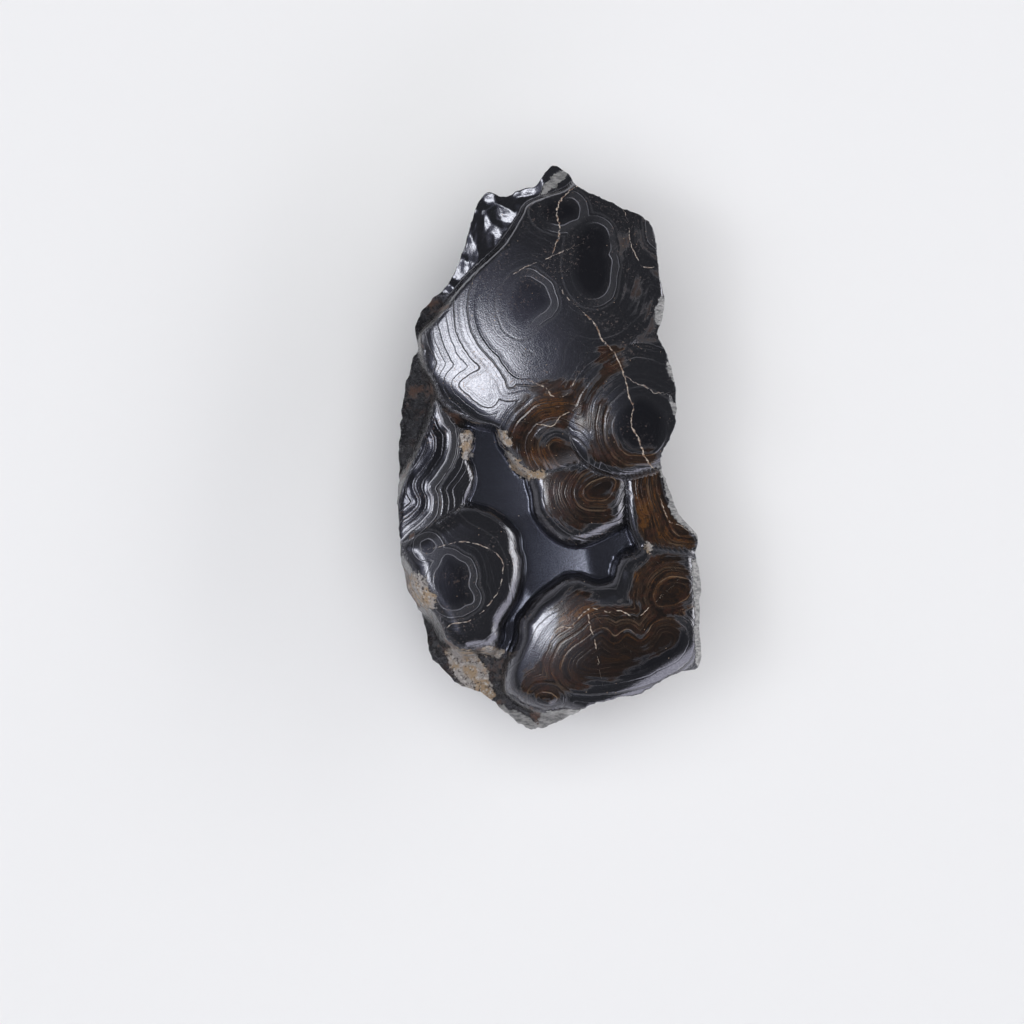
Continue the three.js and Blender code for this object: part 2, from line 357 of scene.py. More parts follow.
ISLANDS: dict[Dome, Island] = {
    Dome.PLATEAU: Island(
        outline=loop(
            (4.5, 44.5), (6.8, 44.8), (13.2, 41.8), (18.2, 39.4), (20, 35.5), (20.4, 28.8), (19.8, 25.5),
            (19, 20.5), (19.9, 18.3), (21.2, 15), (21.8, 11.3), (22.6, 4.7), (22, 2), (19.6, -1.3),
            (17.5, -3), (15.2, -4), (12.7, -4.5), (8.5, -4.2), (3.8, -3.9), (1.5, -4.2), (-1, -4.7),
            (-3.7, -4.7), (-5.3, -3.4), (-6.8, -0.7), (-7.8, 0.8), (-8.3, 3), (-9.3, 3.7), (-11.8, 4.1),
            (-13.2, 4.5), (-14.7, 5.3), (-16.5, 6.2), (-18.2, 8), (-19.3, 11.2), (-20.8, 13.7),
            (-21.3, 16.3), (-21.3, 19.2), (-18.8, 21.5), (-15.2, 26.3), (-12.3, 29.5), (-8.2, 33.3),
            (-6.5, 35.5), (-4.3, 39.3), (-3.7, 40.5), (-0.7, 42), (2.7, 43.2),
        ),
        crest=(9, 15.5, 32.8),
        bend=(92, 135),
        rim_width=0.7,
        rim_slope=0.8,
        relief=0.9,
        ringed=0.85,
        shoulders=(
            Shoulder(through=(18.4, 24), towards=(1, 0.1), radius=1.2),
            Shoulder(through=(-4, 8.6), towards=(0.45, -1), radius=34),
            Shoulder(through=(-14, 9.2), towards=(-0.62, -0.78), radius=6),
            Shoulder(through=(-19, 15), towards=(-1, 0), radius=4),
        ),
    ),
    Dome.RIGHT_DOME: Island(
        outline=loop(
            (4.9, 14), (3.6, 10.5), (3.2, 6), (3.3, 3), (4, 0.5), (5.5, -1.7), (7.7, -3.3), (10.2, -4.2),
            (12.7, -4.6), (15.2, -4.1), (17.7, -3.2), (20.5, -0.6), (22.8, 4.7), (22.2, 11.3), (21, 15.4),
            (17, 17.6), (11, 17.6), (7, 16.4),
        ),
        crest=(13.8, 6.5, 33.0),
        bend=(45, 44),
        rim_width=2.4,
        rim_slope=0.3,
        relief=0.7,
        ringed=0.85,
        blend=0.7,
    ),
    Dome.MIDDLE_DOME: Island(
        outline=loop(
            (-3.4, -2), (-3.6, -5.2), (-2.8, -8), (-2.6, -10.5), (-1.7, -12.2), (-0.4, -13.8), (1.5, -15.2),
            (3.3, -16), (5.2, -16.1), (7, -15.7), (9.2, -14.7), (11.2, -13.7), (12.8, -12.5), (13.2, -9),
            (13.2, -2), (6, -1),
        ),
        crest=(7, -6.8, 28.9),
        bend=(46, 36),
        rim_width=2.5,
        rim_slope=0.9,
        silver=4.6,
    ),
    Dome.RIGHT_FACET: Island(
        outline=loop(
            (13.1, -3), (17.2, -2), (19.4, -2), (20, -5), (21.5, -9.5), (24.5, -13.2), (25.8, -15.5),
            (24, -19), (17, -19), (15.4, -17), (14.3, -15.2), (13.6, -13.2), (13.2, -10), (12.9, -6),
        ),
        crest=(15, -7, 28.6),
        bend=(60, 50),
        rim_width=1.0,
        rim_slope=0.9,
    ),
    Dome.LOWER_DOME: Island(
        outline=loop(
            (16.5, -15.8), (20, -16), (24.5, -17), (25.6, -20), (26, -24), (26, -29), (26.8, -36),
            (25.8, -41), (22.4, -41.5), (19, -42.5), (15.7, -44), (12.5, -44.6), (9.8, -45), (6.4, -45),
            (3.9, -44.2), (1.8, -43.8), (0.3, -44.3), (-1, -44.3), (-4.7, -42.8), (-7, -41), (-7.3, -39),
            (-7.2, -37.6), (-6.3, -34.5), (-5.3, -32), (-5, -28.8), (-3.8, -27.2), (-2.7, -25.7),
            (-1.3, -24.3), (0.3, -23.2), (2, -22), (3.5, -21.5), (5.2, -21.5), (6.5, -22), (8.3, -22.5),
            (9.8, -22.2), (10.7, -21.7), (11.2, -19.7), (12, -18.2), (13, -17.5), (14.5, -17),
        ),
        crest=(12.6, -28.5, 30.3),
        bend=(64, 52),
        rim_width=2.8,
        rim_slope=1.0,
        quiet=0.3,
        ringed=0.65,
        stepped=0.35,
        silver=4.6,
        shoulders=(Shoulder(through=(14, -37.4), towards=(0.55, -0.83), radius=9),),
    ),
    Dome.LEFT_DOME: Island(
        outline=loop(
            (-14, -9.6), (-12, -9.8), (-9.3, -10.8), (-6.8, -12.6), (-5.4, -14.4), (-5.1, -17),
            (-4.6, -18.3), (-4.5, -20.3), (-4.8, -22.6), (-5.6, -25.4), (-7, -27.6), (-8.1, -29.5),
            (-8.3, -31.8), (-9.6, -33.6), (-11.4, -33.6), (-14.2, -33.8), (-15.8, -33), (-17, -32),
            (-17.7, -30.3), (-18.7, -28.3), (-19.8, -26.8), (-21, -25.4), (-22.4, -22.8), (-22.8, -20.5),
            (-24, -18.4), (-24.8, -16.4), (-23.6, -15), (-20.4, -13), (-16.8, -10.8),
        ),
        crest=(-13, -20, 28.6),
        bend=(80, 110),
        rim_width=2.9,
        rim_slope=0.8,
        ringed=0.28,
    ),
    Dome.LEFT_WING: Island(
        outline=loop(
            (-17.6, 6.6), (-16, 5), (-14.9, 3.6), (-13, 3.2), (-12.8, 0.5), (-13.6, -1.4), (-12.9, -3),
            (-12.5, -5.3), (-13, -7.2), (-14, -9.2), (-15, -13), (-20, -17.4), (-25.2, -17.6), (-25.4, -12),
            (-25, -8), (-23.4, -3.6), (-21.6, 0.6), (-20, 4.8), (-19.2, 8), (-18.4, 8),
        ),
        crest=(-19.2, -3, 27.3),
        bend=(24, 200),
        rim_width=1.2,
        rim_slope=0.8,
        relief=1.6,
        quiet=0,
    ),
}


def own(name: str, highest: Values) -> Values:
    """Returns one of the islands' values at each place, given which island is highest there."""
    return np.array([getattr(island, name) for island in ISLANDS.values()])[highest]


@dataclass(frozen=True)
class Hollow:
    """A shallow bowl broken or worn into the ground around the islands."""

    at: Point
    floor: float
    radius: float

    def height(self, at: Places) -> Values:
        """Returns the bowl's height at each plan position."""
        return self.floor + ((at - self.at) ** 2).sum(1) / (2 * self.radius)


def lowest(hollows: tuple[Hollow, ...], at: Places) -> Values:
    """Returns the height of the lowest bowl at each plan position."""
    return np.min([hollow.height(at) for hollow in hollows], axis=0)


CHANNEL = (
    Hollow((-8, -6), 23.9, 60),
    Hollow((-4.5, -20), 23.6, 67),
    Hollow((11.5, -17.5), 24.35, 50),
    Hollow((-9.8, -27), 22.9, 27),
    Hollow((-8.5, -38), 21.5, 26),
)

# the glossy breaks beside the plateau's upper left edge, and at the tip
SHELF = (
    Hollow((-12.6, 36.6), 24.3, 24),
    Hollow((-15.2, 39.6), 24.2, 8),
    Hollow((-9.4, 38.6), 24.5, 9),
    Hollow((-15.4, 33.6), 23.8, 8),
    Hollow((-7.6, 43.4), 24.6, 12),
    Hollow((-11.4, 42.2), 24.3, 7),
    Hollow((-18.4, 29.0), 23.2, 12),
    Hollow((-19.6, 25.4), 22.6, 8),
    Hollow((1.6, 46.6), 27.2, 8),
)

BREAKS = (
    # left flank
    Hollow((-20.5, 23), 22, 7),
    Hollow((-22.8, 14.5), 21, 8),
    Hollow((-24.4, 6), 19.5, 10),
    Hollow((-26.2, -6), 18.5, 12),
    # crusted lower left corner
    Hollow((-24.5, -20), 17, 9),
    Hollow((-22.5, -28.5), 15.5, 10),
    Hollow((-17.5, -36), 18, 11),
    Hollow((-11.8, -40), 19, 9),
    # lower end and right flank
    Hollow((-4.5, -46), 19.8, 9),
    Hollow((4, -46.5), 20.2, 10),
    Hollow((13, -44.5), 20.5, 9),
    Hollow((22, -41), 20.5, 8),
    Hollow((27.5, -14), 22, 9),
    Hollow((23, 19), 23, 9),
)

GROUND_TOP = 26.5  # the ground rises no higher than this


@dataclass(frozen=True)
class Cleft:
    """A flat break that cuts a side of the stone."""

    through: Triple
    outward: Triple

    def cut(self, at: Places) -> Places:
        """Returns the points, with those beyond the break moved back onto it."""
        way = np.asarray(self.outward) / np.linalg.norm(self.outward)
        beyond = np.clip((at - self.through) @ way, 0, None)
        return at - beyond[:, None] * way


CLEFTS = (
    Cleft((23, -24, 12), (0.9, -0.18, -0.4)),
    Cleft((19, 10, 15), (0.88, 0.12, -0.3)),
    Cleft((13, 36, 13), (0.62, 0.66, -0.42)),
    Cleft((-5, 41, 10), (-0.3, 0.82, -0.5)),
    Cleft((-17.5, 25, 9), (-0.84, 0.3, -0.45)),
    Cleft((-23, -6, 6), (-0.76, -0.06, -0.65)),
    Cleft((-18.5, -32, 8), (-0.66, -0.6, -0.45)),
    Cleft((2, -42.5, 8), (0.1, -0.84, -0.54)),
    Cleft((19.5, -36, 13), (0.55, -0.74, -0.38)),
)


def smooth_max(a: Values, b: Values, fillet: float | Values) -> Values:
    """Joins two surfaces, with a fillet where they cross.

    Args:
        a: the heights of one surface.
        b: the heights of the other.
        fillet: the height over which they blend.

    Returns:
        The joined heights.
    """
    overlap = np.clip(fillet - np.abs(a - b), 0, None) / fillet
    return np.maximum(a, b) + overlap**2 * fillet / 4


# ---------------------------------------------------------------- growth layers and markings

HEART = loop(
    (-4.2, 28.5), (-3.3, 28.7), (-2, 28), (-0.7, 27), (0, 25.3), (0.2, 24), (-0.7, 22.8), (-2.2, 21.7),
    (-3.2, 20.5), (-4.7, 19.7), (-6.3, 20.6), (-7.2, 22.8), (-6.8, 25.6), (-5.6, 27.6),
)
LONG_RING = loop(
    (5.5, 37), (7.3, 37.5), (8.7, 37.2), (9.7, 36.3), (10.2, 34.7), (10.2, 33.2), (9.8, 32.3),
    (10.3, 31.3), (10.4, 29), (9.7, 26.3), (8.5, 25), (7, 24.8), (5, 26), (3.8, 28.4), (3.6, 31.2),
    (4, 34.4),
)


@dataclass(frozen=True)
class Nucleus:
    """A place that growth layers wrap around. Layer 0 runs along its outline."""

    outline: Line
    age: float = 0.0
    shown: Point = (0, 0)  # the side on which its outline is plain to see; 0, 0 is all round
    ceiling: float = 9.0  # no layer inside it is higher than this

    def layers(self, at: Places) -> Values:
        """Returns the layer at each plan position, higher inside."""
        return np.minimum(self.age + self.outline.side(at), self.ceiling)

    def plain(self, at: Places) -> Values:
        """Returns how plain the outline is at each plan position, from 0 to 1."""
        if self.shown == (0, 0):
            return np.ones(len(at))
        off = at - np.mean(self.outline.points, axis=0)
        facing = off @ np.asarray(self.shown) / np.maximum(np.hypot(off[:, 0], off[:, 1]), 1e-6)
        return smoothstep(-0.35, 0.35, facing / np.hypot(*self.shown))


def ring(x: float, y: float, across: float, along: float, twist: float = 0.12) -> Line:
    """Draws a slightly uneven oval.

    Args:
        x: the middle, across the stone.
        y: the middle, along the stone.
        across: half size across.
        along: half size along.
        twist: how uneven it is, as a share of its size.

    Returns:
        The closed line.
    """
    turns = [2 * math.pi * i / RING_POINTS for i in range(RING_POINTS)]
    sizes = [1 + twist * math.sin(3 * turn + x) * math.cos(2 * turn + y) for turn in turns]
    return loop(
        *(
            (x + across * size * math.cos(turn), y + along * size * math.sin(turn))
            for turn, size in zip(turns, sizes)
        )
    )


# the right dome has grown together with the plateau, and shares its nuclei
NUCLEI: dict[Dome, tuple[Nucleus, ...]] = {
    Dome.PLATEAU: (
        Nucleus(HEART, shown=(1, 0.1)),
        Nucleus(LONG_RING, shown=(1, 0)),
        Nucleus(ring(1.8, 39.4, 3.6, 2.4), shown=(1, -0.6)),
        Nucleus(ring(21.5, 37.5, 4.4, 4.6)),
        Nucleus(ring(-3.3, 15.6, 2.5, 1.9), age=-3.1),
        Nucleus(
            loop(
                (-14.7, 10.6), (-13.3, 9.2), (-11.4, 7.8), (-9.9, 7), (-8.8, 8), (-9.2, 10.4),
                (-9.4, 12.8), (-10.4, 13.6), (-11.9, 12.8), (-13.5, 11.8),
            ),
            age=-8.6,
            ceiling=-7.75,
        ),
        Nucleus(ring(-10.2, 8.7, 0.3, 0.3), age=-7.6),
        Nucleus(
            loop(
                (-8.8, 9.4), (-7.6, 8.2), (-5.9, 8), (-4, 9), (-3.3, 11.3), (-5.2, 14.7), (-6.9, 16.8),
                (-8, 15.1), (-9, 13.2),
            ),
            age=-8.6,
        ),
        Nucleus(
            loop(
                (-0.1, 0.4), (1.1, 1.3), (2.8, 0.6), (4, 0.1), (4.9, -1.5), (4.4, -2.7), (2, -3),
                (0.9, -2), (0.2, -0.8),
            ),
            shown=(-0.5, -0.8),
        ),
        Nucleus(ring(15.2, 3.4, 4.6, 5, twist=0.04), shown=(-0.5, -1)),
    ),
    Dome.MIDDLE_DOME: (
        Nucleus(
            loop(
                (5.5, -7.3), (6.3, -6), (7.7, -5.2), (9.8, -4.7), (11, -5.5), (10.8, -6.8), (9.7, -8.5),
                (7.8, -8.8), (6.3, -8.5),
            )
        ),
    ),
    Dome.RIGHT_FACET: (Nucleus(ring(24, -6, 5.4, 9)),),
    Dome.LOWER_DOME: (
        Nucleus(
            loop(
                (2, -36.7), (2.7, -34.3), (4, -33), (6.2, -31.5), (8, -30), (9.3, -29.8), (10.3, -30.7),
                (10.9, -31.2), (12, -30.5), (13.3, -30.2), (14.5, -31.2), (15.3, -31.8), (16.3, -30.8),
                (17, -29.3), (18.3, -28.5), (20.7, -28.5), (22.5, -29.7), (23.3, -31.5), (22.6, -34),
                (19.5, -36.5), (14, -38.6), (8, -39.6), (3.6, -39),
            ),
            shown=(-0.25, 1),
        ),
        Nucleus(loop(
            (20.6, -21.4), (18.6, -22.4), (17.6, -24.4), (18, -26), (20.4, -26.2), (23, -25),
            (24, -22.4),
        )),
        Nucleus(ring(-0.4, -41.8, 1.7, 1.1)),
    ),
    Dome.LEFT_DOME: (
        Nucleus(
            loop(
                (-17.3, -17.8), (-16.3, -18), (-15.3, -18.7), (-13.8, -19.5), (-13.3, -21.2),
                (-13.5, -22.8), (-12.7, -24.5), (-12.8, -25.5), (-13.8, -26.2), (-14.8, -27),
                (-16.2, -27.2), (-18, -26.4), (-19, -24), (-19.2, -21),
            )
        ),
        Nucleus(ring(-20.3, -16.4, 1.3, 1.2)),
    ),
    Dome.LEFT_WING: (
        Nucleus(
            loop(
                (-17.7, 4.2), (-16.8, 2.7), (-16.7, 0.5), (-17, -1.2), (-17.7, -2.8), (-18.8, -4.5),
                (-20.2, -6.5), (-19.7, -8.2), (-19.8, -10), (-20.5, -11.2), (-23.2, -13.7), (-34, -22),
                (-44, -6), (-34, 10), (-20, 9),
            )
        ),
    ),
}

MAIN_CRACK = path(
    (6, 22.3), (7.2, 21), (8.2, 19.5), (8.8, 17.9), (9.3, 17.5), (11, 15.7), (11.7, 14.2), (12.3, 12.7),
    (12.9, 10.7), (13.2, 8.7), (14, 7), (13.7, 5.5), (13.7, 4), (14.3, 2.5), (15, 1.3), (15.5, -0.2),
    (15.7, -1.2), (16.5, -2.3), (17.3, -3.2),
)
CRACK_BRANCH = path((12.8, 12), (14.5, 10.8), (16, 10.3), (17.3, 9.3), (18.3, 9.2))
UPPER_CRACK = path(
    (4.7, 43.8), (3.5, 43), (1.8, 41.2), (1.3, 38.8), (1.8, 36.8), (1.5, 35), (0.7, 32.7),
)
CRACKS = (MAIN_CRACK, UPPER_CRACK)

CREAM_LINES = (
    path((4.3, 11.3), (3.5, 9.7), (2.5, 8.7), (0.5, 8.7), (-0.5, 10), (-2.6, 11)),
    path((3.2, 6), (1.8, 5.2), (0.7, 3.8), (0.2, 3.7), (-2, 4)),
    path(
        (0.3, -31.8), (1, -30.7), (2, -29.8), (3.7, -29.8), (4.5, -28.8), (6, -27.3), (6.8, -26.7),
        (8.2, -26.8), (9.7, -27.3), (11, -27), (12.2, -27.2), (13.3, -27.8), (14.5, -28.5),
        (15.7, -27.5), (17, -26.3),
    ),
    path(
        (-18.2, -16.3), (-16.7, -16), (-14.2, -15.5), (-10.5, -16.5), (-9.2, -17.2), (-7.8, -18.8),
        (-7.7, -20.5), (-8.2, -23.2), (-9.2, -25), (-10.7, -26.8), (-12.5, -28.3), (-13.8, -29),
        (-16, -29.3), (-17.5, -30.2),
    ),
    path((18.7, -8.7), (19.5, -11), (20.3, -12.3), (21.7, -12.7), (22.6, -13.2)),
    path((6.5, -27.3), (6.8, -29.5), (7.4, -31.4), (7.8, -33), (8.2, -35.3)),
    path((-7, 28.3), (-4, 30.2), (-1.2, 31.3), (2.3, 32.8)),
    path((2, 26.6), (2.8, 25.2), (3.8, 24.3)),
    path((12.7, 39), (13.3, 37), (13.5, 34.8), (14, 33), (14.7, 31.7), (15.7, 30.2), (17.7, 30.2)),
)

CRUSTS = (
    loop((-8.6, 3.2), (-7, 2.4), (-6.2, 0.8), (-6.8, 0), (-8.2, 1)),
    loop((-7.2, -0.2), (-5.4, -1.6), (-3.6, -3.4), (-0.6, -3.8), (-0.6, -4.8), (-4, -5), (-6, -3.6)),
    loop((-14.8, 2.8), (-12.8, 2.8), (-12.8, 0.5), (-13.4, -1.6), (-14.4, -1.4), (-15, 0.7)),
    loop(
        (-23, -20.8), (-20.7, -21.4), (-20.1, -23.3), (-19, -25), (-19, -26.2), (-20.5, -27),
        (-23.5, -24),
    ),
    loop((-11.2, -33.2), (-9.2, -33.2), (-7.4, -34.1), (-8.2, -35.3), (-10.2, -35), (-11.4, -34)),
    loop((16, -16.2), (17, -15.9), (17.4, -16.8), (16.4, -17.3)),
    loop(
        (-15.5, -33.6), (-12.8, -34), (-11.3, -35.7), (-10.3, -37), (-10, -38.7), (-9.3, -42),
        (-11, -43.4), (-14, -41), (-16.4, -37.6), (-17.4, -34.4), (-16.6, -33.4),
    ),
)

# pale, splintered chips along the right edge, the lower end and the tip
CHIPS = (
    loop((19.4, 14.4), (21.5, 13.6), (21.6, 10.6), (20.2, 11.6)),
    loop((19.8, 9), (20.6, 8.2), (21.9, 6.2), (21.6, 4.8), (20.4, 6.2)),
    loop((18.3, 25.2), (19.6, 25), (18.9, 20.4), (17.7, 20.8)),
    loop(
        (18.4, -3.4), (19.4, -7), (20.4, -11), (23.8, -14.2), (25.6, -15.6), (26, -14.2), (22.6, -11.2),
        (21.2, -7), (19.6, -3),
    ),
    loop(
        (24, -18.6), (23.9, -22), (24.2, -27), (24.2, -31), (24.6, -36), (26, -38), (27, -30),
        (26.4, -18.6),
    ),
    loop(
        (-8.5, -43), (-6.5, -43.6), (-4.2, -44.6), (-2.5, -45.8), (-1.5, -46.8), (-2.8, -48),
        (-5, -47.4), (-8, -45),
    ),
    loop((-1.6, -44.6), (1.8, -43.8), (5, -43.4), (7, -43.4), (7, -44.6), (3, -46.4), (-1.5, -48)),
    loop((-1.6, 42.4), (0.4, 43.2), (2.6, 45.2), (3.4, 46.4), (1.6, 46.6), (-0.4, 44.8)),
)

# where the rust turns orange
EMBERS = (
    loop(
        (0.2, -32), (1.2, -28.8), (4, -27.2), (7, -25.4), (9.4, -26), (7, -27.6), (4, -28.8),
        (2, -31.2),
    ),
    loop((9.4, -24.8), (11.6, -22.2), (14.6, -20.2), (15.6, -21), (13.4, -23), (11, -25.6)),
    loop((-4, 6), (-1.4, 8.6), (1.6, 9), (2.6, 6.6), (1, 4.8), (-2, 4.6)),
    loop((-1, 2.4), (0.4, 3.4), (2.6, 3), (4, 1), (2.6, 0.2), (0.4, 1.4)),
    loop((-3.6, -0.6), (-1.2, 0.4), (0.2, -1.8), (-1, -3.4), (-3.6, -3)),
    loop((13, -7.6), (15.6, -8), (17, -11), (15.8, -13.4), (13.6, -12)),
)

# the plateau's upper part and the right dome's far side, where the rings hardly show
DARK_FACES = (
    loop(
        (-6, 37), (-9, 31), (-12.8, 26), (-12.2, 20), (-10.2, 17.6), (-7.7, 14.8), (-5.2, 12),
        (-1, 10.8), (4, 11), (9, 18), (16, 18), (24, 20), (24, 46), (4, 48),
    ),
    loop((13, 12), (10.6, 8), (10.4, 3.4), (12.6, 0), (19, -0.6), (25, 2), (25, 14), (18, 16)),
)


@dataclass(frozen=True)
class RustZone:
    """A part of the face whose layers are rust-brown."""

    much: float  # how rusty it is well inside
    outline: Line

    def over(self, at: Places) -> Values:
        """Returns how rusty each plan position is."""
        return self.much * smoothstep(-2, 2.4, self.outline.side(at))


RUST_ZONES = (
    RustZone(
        0.8,
        loop((-8, 3), (-4, 8), (-1, 11.5), (3, 12.5), (7, 11), (6, 0), (8, -3), (8, -6), (-9, -6)),
    ),
    RustZone(
        0.9,
        loop(
            (5.8, 9), (8.4, 16.6), (13, 16), (10, 8), (11, 2), (14, -1), (20, -1), (14, -7), (4, -6),
            (6, 1),
        ),
    ),
    RustZone(1.05, loop((-4, -3), (14, -3), (15, -12), (10, -13.6), (4, -14.8), (-1, -12.6), (-4, -8))),
    RustZone(1.3, loop((12.5, -2), (22, -2), (28, -14), (28, -20), (12, -19))),
    RustZone(
        1.1,
        loop((12, -15), (28, -16), (25, -27), (17, -27), (11, -25), (4, -28), (-3, -27), (2, -18)),
    ),
    RustZone(
        1.1,
        loop(
            (0.6, -25.5), (5, -24.5), (10, -25), (19, -27), (21.6, -30), (18.6, -34), (12, -37.4),
            (6, -40), (2.4, -43), (-1, -44.4), (-4.6, -42), (-4.4, -36.5), (0.8, -32.8),
        ),
    ),
    RustZone(0.23, loop((11, 36), (22, 36), (22, 18), (12, 18), (8, 22), (12, 28))),
)


# ---------------------------------------------------------------- the stone

GROWN_TOGETHER = (Dome.PLATEAU, Dome.RIGHT_DOME)  # they share their layers
CHANNEL_BLEND = 0.2
LAYER_BLEND = 0.2  # how softly the layers of neighbouring nuclei join


@dataclass
class Stone:
    """The whole stone: one closed skin laid over the stone's outline, with its relief."""

    half_width: float = 25.6
    half_length: float = 47.5  # the skin's ball is first stretched to these two
    cells: int = 124  # along each edge of the box that the skin starts from
    rim_latitude: float = -15.0  # degrees: the skin's ball is laid over the top down to here
    wall_share: float = 0.75  # of the skin below the rim; the rest is the base
    wall_bulge: float = 2.1  # above 1, a wall stays upright near the rim and turns in lower down
    channel_fillet: float = 0.6  # where a face's wall meets the ground
    relief: float = 0.06  # how far the growth layers stand out of a polished face
    dark_relief: float = 0.85  # the share of that relief which the dark faces lose
    dark_rings: float = 0.75  # and the share of their rings
    terrace: float = 0.24  # the height of each of the left wing's steps
    terraces: tuple[Pair, ...] = ((-0.2, 0.6), (2.3, 3.0))  # the layers that they run along
    outline: Line = loop(
        (0.5, 47.5), (3.2, 46.3), (4.5, 44.2), (10.3, 41.3), (16.8, 38), (17.8, 35.8), (18.5, 28.3),
        (19.3, 25.2), (18.8, 21.2), (18.1, 19), (19.8, 16.2), (20.9, 12), (21.5, 5), (20.8, 2.5),
        (18.8, -1.2), (19, -3.2), (20.5, -7.3), (21.8, -11), (25.1, -14.7), (24.8, -17.8), (25.5, -23),
        (25.2, -29.5), (25.6, -34.7), (24.7, -37.3), (22.5, -37.3), (19.2, -38.8), (15.7, -41),
        (6.8, -43.2), (2.5, -45.8), (-2.8, -47.5), (-6.5, -45.3), (-11.3, -41.3), (-14.5, -40.3),
        (-17.7, -37.8), (-20, -35), (-21.3, -29), (-24.2, -23), (-25.2, -15.3), (-25.6, -8), (-24.8, 8),
        (-23.2, 14.7), (-22.2, 17.2), (-22.7, 20.5), (-20.5, 24.7), (-18.2, 26.7), (-15, 32.2),
        (-13, 38.5), (-11.8, 41.8), (-10, 43.2), (-7.7, 42.5), (-4.3, 43.8), (-2.3, 44.2), (-0.7, 46.3),
    )
    base: Line = loop(
        (1, 39.5), (10.5, 33), (14.5, 17), (17.5, 3), (20.5, -15), (19, -31.5), (8, -38), (-7, -39),
        (-17, -29), (-21, -10), (-19, 9), (-14, 24), (-8.5, 35.5),
    )
    scoops: int = 60  # conchoidal breaks over the walls
    scoop_scatter: float = 1.5
    scoop_depths: Pair = (0.5, 3.2)  # least and most
    scoop_radii: Pair = (12, 45)
    seed: int = 7
    skin: bpy.types.Object | None = None
    markings: dict[str, Values] = field(default_factory=dict)

    def ball(self) -> bpy.types.Mesh:
        """Returns an even ball of four-sided faces, its radius 1, as the skin's start."""
        start = bmesh.new()
        bmesh.ops.create_cube(start, size=2)
        bmesh.ops.subdivide_edges(
            start, edges=start.edges[:], cuts=self.cells - 1, use_grid_fill=True
        )
        mesh = bpy.data.meshes.new(NODE)
        start.to_mesh(mesh)
        start.free()
        return mesh

    def ground(self, at: Places) -> Values:
        """Works out the ground around the islands: the channel, the shelf and the broken flanks.

        Args:
            at: plan positions.

        Returns:
            The height at each.
        """
        channel = CHANNEL[0].height(at)
        for hollow in CHANNEL[1:]:
            channel = -smooth_max(-channel, -hollow.height(at), CHANNEL_BLEND)
        shelf = lowest(SHELF, at) + wave_height(SHELF_WAVES, at)
        broken = lowest(BREAKS, at) + wave_height(BREAK_WAVES, at)
        self.markings["broken"] = smoothstep(-0.5, 0.5, np.minimum(channel, shelf) - broken)
        self.markings["shelf"] = smoothstep(-0.5, 0.5, np.minimum(channel, broken) - shelf)
        return np.minimum(np.minimum(np.minimum(channel, shelf), broken), GROUND_TOP)

    def top(self, at: Places) -> Values:
        """Works out the relief of the upper side, and marks it.

        Args:
            at: plan positions.

        Returns:
            The height at each.
        """
        inside = np.stack([island.outline.side(at) for island in ISLANDS.values()])
        islands = np.stack([island.height(at, side) for island, side in zip(ISLANDS.values(), inside)])
        highest = islands.argmax(0)
        order = np.argsort(islands, axis=0)[-2:]
        first, second = np.take_along_axis(islands, order[::-1], 0)
        # a seam runs where two islands are level, unless they have grown together
        self.markings["seam"] = first - second + np.isin(order, GROWN_TOGETHER).all(0)
        layers, self.markings["plain"] = self.layers(at, highest)
        self.markings["layer"] = layers
        # the left wing goes down in steps, along its layers
        steps = sum(smoothstep(*terrace, layers) for terrace in self.terraces)
        islands[Dome.LEFT_WING] -= self.terrace * steps * (highest == Dome.LEFT_WING)
        faces = islands[Dome.PLATEAU]
        for dome in list(Dome)[1:]:
            faces = smooth_max(faces, islands[dome], ISLANDS[dome].blend)
        ground = self.ground(at)
        proud = faces - ground
        own_side = np.take_along_axis(inside, highest[None], 0)[0]
        # the flanks are broken, and so are the faces where they fall away outside their outlines
        outside = smoothstep(0.45, -0.05, own_side + wave_height(BREAK_EDGE, at))
        self.markings["broken"] *= np.maximum(smoothstep(0.6, 0.2, proud), outside)
        self.markings["proud"] = proud
        self.mark(at, own_side, highest)
        relief = self.relief * self.ring_strength(at, own_side, highest) * smoothstep(0.5, 2, proud)
        # the plateau's outermost layers stand out most
        relief = relief * (1 + 0.6 * (highest == Dome.PLATEAU) * smoothstep(-8.5, -10.5, layers))
        faces = faces + relief * LAYER_RELIEF.over(layers[:, None])
        fillet = self.channel_fillet * (1 - 0.7 * self.markings["shelf"])
        return smooth_max(faces, ground, fillet)

    def ring_strength(self, at: Places, own_side: Values, highest: Values) -> Values:
        """Works out how clearly the growth layers show, and marks it.

        Args:
            at: plan positions.
            own_side: how far each lies inside its island's outline.
            highest: the island at each.

        Returns:
            How far the layers stand out, against the strongest.
        """
        layers = self.markings["layer"]
        merged = np.isin(highest, GROWN_TOGETHER)
        # the two that have grown together are smooth around their nuclei
        stands = np.where(highest == Dome.PLATEAU, -3.4, -1.5)
        strength = own("relief", highest) * np.where(merged, smoothstep(-0.4, stands, layers), 1)
        # every island shows its outermost layers as steps along its rim
        at_rim = own("stepped", highest) * (1 - smoothstep(1, 3, own_side))
        dark = merged * smoothstep(-1, 1.8, deepest(DARK_FACES, at))
        strength = np.maximum(strength, at_rim) * (1 - self.dark_relief * dark)
        core = 1 - own("quiet", highest) * smoothstep(0.2, 0.9, layers)
        self.markings["ringed"] = own("ringed", highest) * core * (1 - self.dark_rings * dark)
        self.markings["relief"] = strength
        return strength

